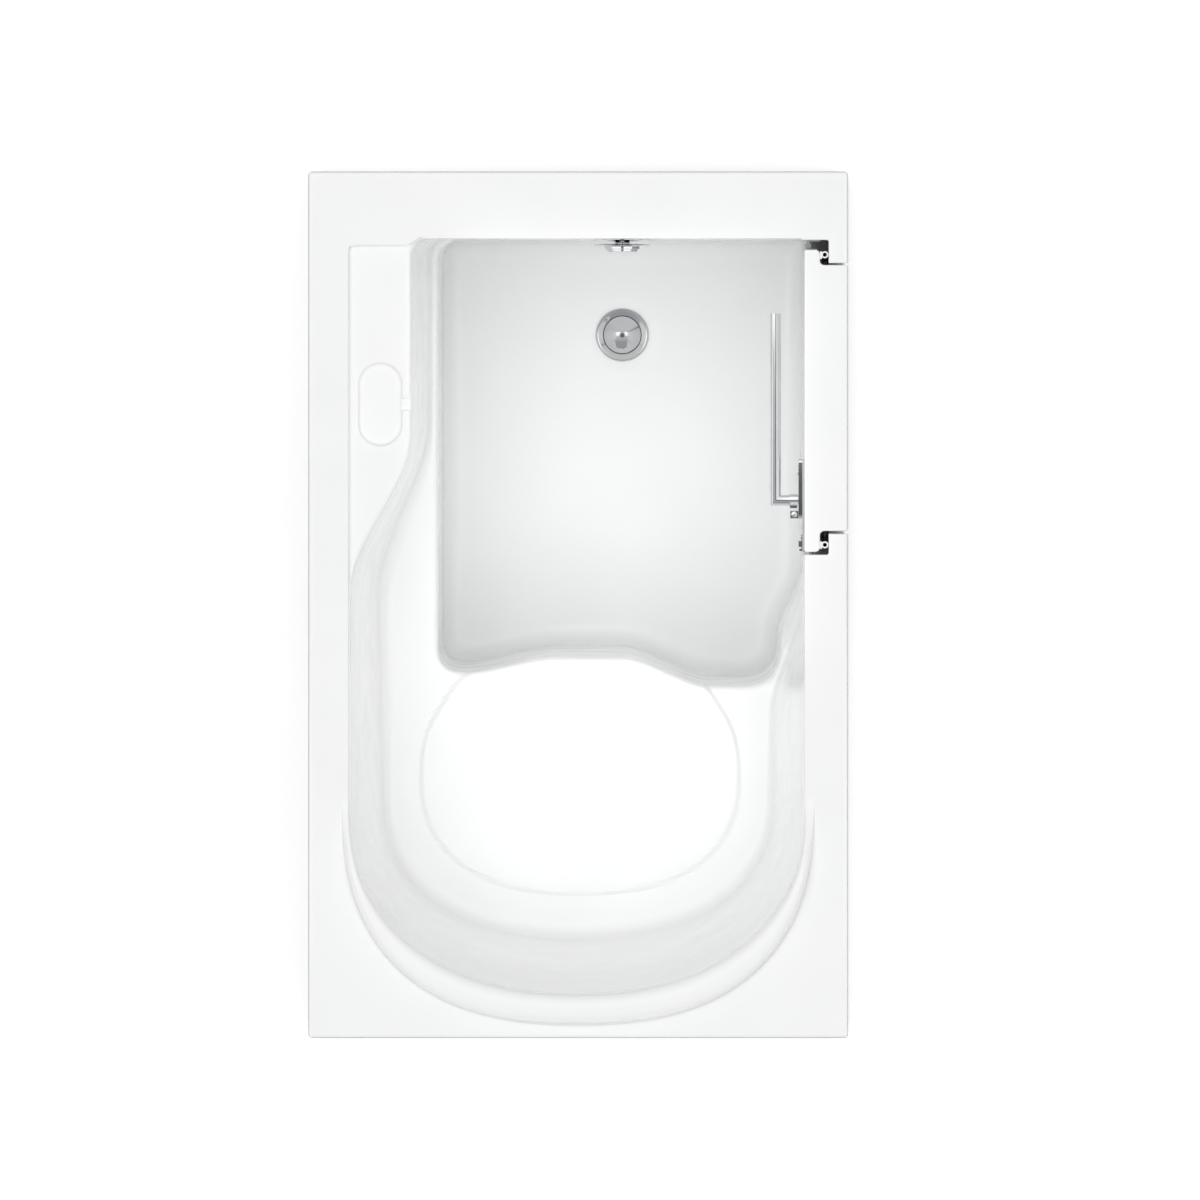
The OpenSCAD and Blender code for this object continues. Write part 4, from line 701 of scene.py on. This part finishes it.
def roundedSection(keys):
    # The section's points, with its corners rounded where there is room
    ends = []
    total = len(keys)
    for j, (corner, rounding, count, _) in enumerate(keys):
        if count == 1:
            ends.append([corner])
            continue
        before, after = keys[j - 1][0], keys[(j + 1) % total][0]
        backLength, onLength = math.dist(before, corner), math.dist(after, corner)
        start = corner + (before - corner) * min(rounding, 0.45 * backLength) / backLength
        end = corner + (after - corner) * min(rounding, 0.45 * onLength) / onLength
        ends.append([bendOf(start, corner, end, k / (count - 1)) for k in range(count)])
    ring = []
    for j, arc in enumerate(ends):
        ring += arc
        more = keys[j][3]
        following = ends[(j + 1) % total][0]
        for k in range(1, more + 1):
            t = k / (more + 1)
            if more < tub["seatRings"]:  # crowded, so that flat walls shade flat
                t = crowdEnds(t, tub["ringCrowding"])
            ring.append(blendOf(arc[-1], following, t))
    return ring


def makeTub():
    lines = {key: outlineOf(key) for key in outlineSpecs}
    lines["shelfFoot"] = pushOut(lines["shelf"], -tub["stepGap"] / 2)
    lines["edge"] = pushOut(lines["outer"], -tub["flare"])
    for key in ("shelf", "rim", "ledge", "well", "floor"):
        lines[key + "Under"] = pushOut(lines[key], tub["sheet"])
    for key, radius in (("sumpOut", "sumpTop"), ("sumpIn", "sumpBottom"),
                        ("drain", "drainRadius"), ("sumpUnder", "sumpUnder")):
        lines[key] = aboutDrain(lines["floor"], tub[radius])
    columns = len(lines["outer"])
    grid = np.array([roundedSection(sectionOf(i, lines)) for i in range(columns)])
    rings = grid.shape[1]
    top = grid[:, :, 2]
    seat = tub["seat"]
    near = (top > seat - pad["fade"]) & (top < seat + pad["above"])
    for i, j in zip(*np.nonzero(near)):
        if j < rings * tub["upperShare"]:  # the upper face alone takes the pad
            x, y, z = grid[i, j]
            share = smoothStep((z - seat + pad["fade"]) / pad["fade"])
            grid[i, j, 2] += padRise(x, y) * share
    mesh = bpy.data.meshes.new("mouldedTub")
    points = (grid.reshape(-1, 3) * mm).tolist()
    faces = []
    for i in range(columns):
        nextColumn = (i + 1) % columns
        for j in range(rings):
            nextRing = (j + 1) % rings
            faces.append((i * rings + j, i * rings + nextRing, nextColumn * rings + nextRing,
                          nextColumn * rings + j))
    mesh.from_pydata(points, [], faces)
    mesh.update()
    piece = bpy.data.objects.new("mouldedTub", mesh)
    bpy.context.scene.collection.objects.link(piece)
    print("tub mesh:", columns, "columns,", rings, "rings")
    return piece


openings = {  # mm: x from, x to, y from, y to
    "inner": (314.6, 352.5, 70.5, 513.6), "outer": (343.5, 389, 100, 481.1),
    "sill": 190, "outerSill": 200, "edge": 2.5, "corner": 3,
    "recess": (-309.2, -248.2, 223.7, 340.7), "recessDepth": 8, "recessFillet": 5,
    "recessLip": 2.6, "trayWall": 5,  # the tray is what the recess is sunk into, under the shelf
    "channel": (-278.7, -221, 273.7, 290.7), "channelDepth": 5, "channelCorner": 5,
    "overflow": (32, 92, -30, 30), "overflowRadius": 29.99, "overflowHeight": 840,
    "overflowReach": (-5, 15), "above": 20,  # how far cutters reach past a surface
}


def boxOutline(x0, x1, y0, y1, radius, grow, steps=6):
    # A rounded rectangle, anticlockwise, grown outwards
    x0, x1, y0, y1, r = x0 - grow, x1 + grow, y0 - grow, y1 + grow, radius + grow
    points = []
    for cx, cy, start in ((x1 - r, y1 - r, 0), (x0 + r, y1 - r, 90),
                          (x0 + r, y0 + r, 180), (x1 - r, y0 + r, 270)):
        for k in range(steps + 1):
            a = math.radians(start + 90 * k / steps)
            points.append((cx + r * math.cos(a), cy + r * math.sin(a)))
    return points


def loftOf(name, levels):
    # A closed solid through outlines of equal length: (height, points) from the bottom up
    mesh = bpy.data.meshes.new(name)
    count = len(levels[0][1])
    points = [(x * mm, y * mm, z * mm) for z, outline in levels for x, y in outline]
    faces = [(level * count + k, level * count + (k + 1) % count,
              (level + 1) * count + (k + 1) % count, (level + 1) * count + k)
             for level in range(len(levels) - 1) for k in range(count)]
    faces.append(tuple(reversed(range(count))))
    faces.append(tuple(range((len(levels) - 1) * count, len(levels) * count)))
    mesh.from_pydata(points, [], faces)
    piece = bpy.data.objects.new(name, mesh)
    bpy.context.scene.collection.objects.link(piece)
    return piece


def boxCutter(box, radius, levels, steps=6):
    # A loft of rounded rectangles: levels are (height, growth) pairs from the bottom up
    return loftOf("cutter", [(z, boxOutline(*box, radius, grow, steps)) for z, grow in levels])


def quarterTurns(steps):
    return [math.radians(90 * k / steps) for k in range(steps + 1)]


def easedTop(bottom, top, radius):
    # Levels of a slot whose upper edge is rounded over
    levels = [(top - radius * (1 - math.sin(a)), radius * (1 - math.cos(a)))
              for a in quarterTurns(4)]
    return [(bottom, 0)] + levels + [(top + openings["above"], radius)]


def cutAway(piece, cutter, operation="DIFFERENCE"):
    cut = piece.modifiers.new("cut", "BOOLEAN")
    cut.operation = operation
    cut.solver = "EXACT"
    cut.object = cutter
    view = bpy.context.evaluated_depsgraph_get()
    result = bpy.data.meshes.new_from_object(piece.evaluated_get(view))
    piece.modifiers.clear()
    piece.data = result
    bpy.data.objects.remove(cutter)


def cutRecess(piece, shelf):
    # The soap recess hangs under the shelf as a tray with a rounded bottom
    x0, x1, y0, y1 = openings["recess"]
    wall, r = openings["trayWall"], openings["recessFillet"]
    half, bottom = (x1 - x0) / 2, shelf - openings["recessDepth"]
    tray = [(bottom - wall, -1), (bottom - wall + 1, 0), (shelf - 2, 0)]
    cutAway(piece, boxCutter((x0 - wall, x1 + wall, y0 - wall, y1 + wall), half + wall - 1, tray,
                             16), "UNION")
    levels = [(bottom + r * (1 - math.cos(a)), -r * (1 - math.sin(a))) for a in quarterTurns(6)]
    levels += easedTop(shelf - openings["recessLip"], shelf, openings["edge"])
    cutAway(piece, boxCutter(openings["recess"], half - 0.01, levels, 16))


def cutChannel(piece, shelf):
    # The channel that drains the recess over the shelf's edge
    bottom = shelf - openings["channelDepth"]
    levels = [(bottom, -1.5), (bottom + 0.4, -0.6), (bottom + 1.5, 0), (shelf - 1, 0),
              (shelf - 0.3, 0.3), (shelf, 1), (shelf + openings["above"], 1)]
    cutAway(piece, boxCutter(openings["channel"], openings["channelCorner"], levels))


def cutOpenings(piece):
    shelf = tub["deck"] - tub["shelfDrop"]
    for name, bottom in (("inner", "sill"), ("outer", "outerSill")):
        levels = easedTop(openings[bottom], tub["deck"], openings["edge"])
        cutAway(piece, boxCutter(openings[name], openings["corner"], levels))
    cutRecess(piece, shelf)
    hole = boxCutter(openings["overflow"], openings["overflowRadius"],
                     [(z, 0) for z in openings["overflowReach"]], 12)
    hole.data.transform(Matrix.Translation((0, tub["foot"] * mm, openings["overflowHeight"] * mm))
                        @ Matrix.Rotation(math.radians(-90), 4, "X"))
    cutAway(piece, hole)
    cutChannel(piece, shelf)


def markPaintedShadeLine(piece):
    # The strip along the lip's trimmed edge, as an attribute that the acrylic reads to paint a grey
    # shade line there
    mark = piece.data.attributes.new("paintedShadeLine", "FLOAT", "POINT")
    slack = 0.2
    low = tub["deck"] - tub["lip"] - slack
    high = tub["deck"] - tub["lip"] + tub["trim"][1] + slack
    x, y = (tub[half] - tub["flare"] - slack for half in ("halfWidth", "halfLength"))
    for i, vertex in enumerate(piece.data.vertices):
        at = vertex.co / mm
        mark.data[i].value = low < at.z < high and (abs(at.x) > x or abs(at.y) > y)


def finishPiece(piece, body, surface, replaced):
    piece.data.materials.clear()
    piece.data.materials.append(surface)
    piece.data.shade_smooth()
    piece.data.set_sharp_from_angle(angle=math.radians(tub["sharpFrom"]))
    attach(piece, body)
    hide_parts(*replaced)


tubPiece = makeTub()
cutOpenings(tubPiece)
markPaintedShadeLine(tubPiece)
finishPiece(tubPiece, "tub", sanitaryAcrylic, ("tub_shell",))
print("the tub is moulded and cut:", len(tubPiece.data.polygons), "faces")

door = {  # mm, in the same frame as the CAD
    "inner": (318.6, 340.4, 74.3, 500.2), "outer": (380, 103.8, 478.4),  # x and y of the slabs
    "bottom": 194, "outerBottom": 224, "top": 963.5, "sheet": 4, "ease": 2.5,
    "cornerIn": 3, "cornerStep": 7, "fillet": 6, "cornerOut": 3,
    "skirtTop": 284,  # the inner slab's lower end, which hangs below the outer one, reaches here
    "spindle": (147.0, 800.0), "spindleRadius": 8,
    "slot": (327.6, 336.6), "slotHalf": 13, "past": 2,  # how far cutters reach past a face
}


def doorOutline(grow, lean=0, steps=6):
    # The door seen from above, anticlockwise: a wide inner slab and a narrower outer one
    x0, x1, y0, y1 = door["inner"]
    x2, y2, y3 = door["outer"]
    x2 -= lean
    ins, turn, fill, out = (door[k] for k in ("cornerIn", "cornerStep", "fillet", "cornerOut"))
    points = []
    for x, y, r, start, way in (
            (x0, y0, ins, 180, 1), (x1, y0, turn, 270, 1), (x1, y2, fill, 180, -1),
            (x2, y2, out, 270, 1), (x2, y3, out, 0, 1), (x1, y3, fill, 270, -1),
            (x1, y1, turn, 0, 1), (x0, y1, ins, 90, 1)):
        middle, reach = math.radians(start + 45 * way), r * math.sqrt(2)
        cx, cy = x - reach * math.cos(middle), y - reach * math.sin(middle)
        r = max(0.02, r + way * grow)
        for k in range(steps + 1):
            a = math.radians(start + 90 * way * k / steps)
            points.append((cx + r * math.cos(a), cy + r * math.sin(a)))
    return points


def easedLevels(bottom, top, radius):
    # (height, growth) pairs of a block whose lower and upper edges are rounded over, in halves
    turns = quarterTurns(4)
    low = [(bottom + radius * (1 - math.sin(a)), -radius * (1 - math.cos(a))) for a in turns]
    high = [(top - radius * (1 - math.sin(a)), -radius * (1 - math.cos(a))) for a in turns]
    return ([(bottom, -radius - 1)] + low[::-1] + [(bottom + radius + 1, 0)],
            [(top - radius - 1, 0)] + high + [(top, -radius - 1)])


def makeDoor():
    x0, x1, y0, y1 = door["inner"]
    x2, y2, y3 = door["outer"]
    low, step, top, sheet = (door[k] for k in ("bottom", "outerBottom", "top", "sheet"))
    lipZ = tub["deck"] - tub["lip"]
    turn, end, past = (lipZ + z for z in tub["trim"])
    lower, upper = easedLevels(step, top, door["ease"])
    straight = [(z, 0) for z in (lipZ - 0.5, lipZ, turn)]
    leaning = [(end, 0), (past, 0)] + upper
    piece = loftOf("mouldedDoor", [(z, doorOutline(grow)) for z, grow in lower + straight]
                   + [(z, doorOutline(grow, tub["flare"])) for z, grow in leaning])
    skirt = easedLevels(low, door["skirtTop"], door["ease"])[0] + [(door["skirtTop"], 0)]
    cutAway(piece, boxCutter(door["inner"], door["cornerIn"], skirt), "UNION")
    hollows = (((x0, x1, y0, y1), (low + sheet, top - sheet)),
               ((x1 - 2 * sheet, x2, y2, y3), (step + sheet, top - sheet)))
    for box, heights in hollows:
        cutAway(piece, boxCutter(box, sheet + 0.1, [(z, -sheet) for z in heights], 2))
    past, radius = door["past"], door["spindleRadius"]
    y, z = door["spindle"]
    hole = boxCutter((-radius, radius, -radius, radius), radius - 0.01,
                     [(-past, 0), (sheet + past, 0)], 12)
    hole.data.transform(Matrix.Translation((x0 * mm, y * mm, z * mm))
                        @ Matrix.Rotation(math.radians(90), 4, "Y"))
    cutAway(piece, hole)
    slot, half = (*door["slot"], y0 - past, y0 + sheet + past), door["slotHalf"]
    cutAway(piece, boxCutter(slot, 0.3, [(z - half, 0), (z + half, 0)]))
    return piece


doorPiece = makeDoor()
markPaintedShadeLine(doorPiece)
finishPiece(doorPiece, "door", sanitaryAcrylic, ("door_inner_skin", "door_outer_skin"))
print("the door is moulded:", len(doorPiece.data.polygons), "faces")
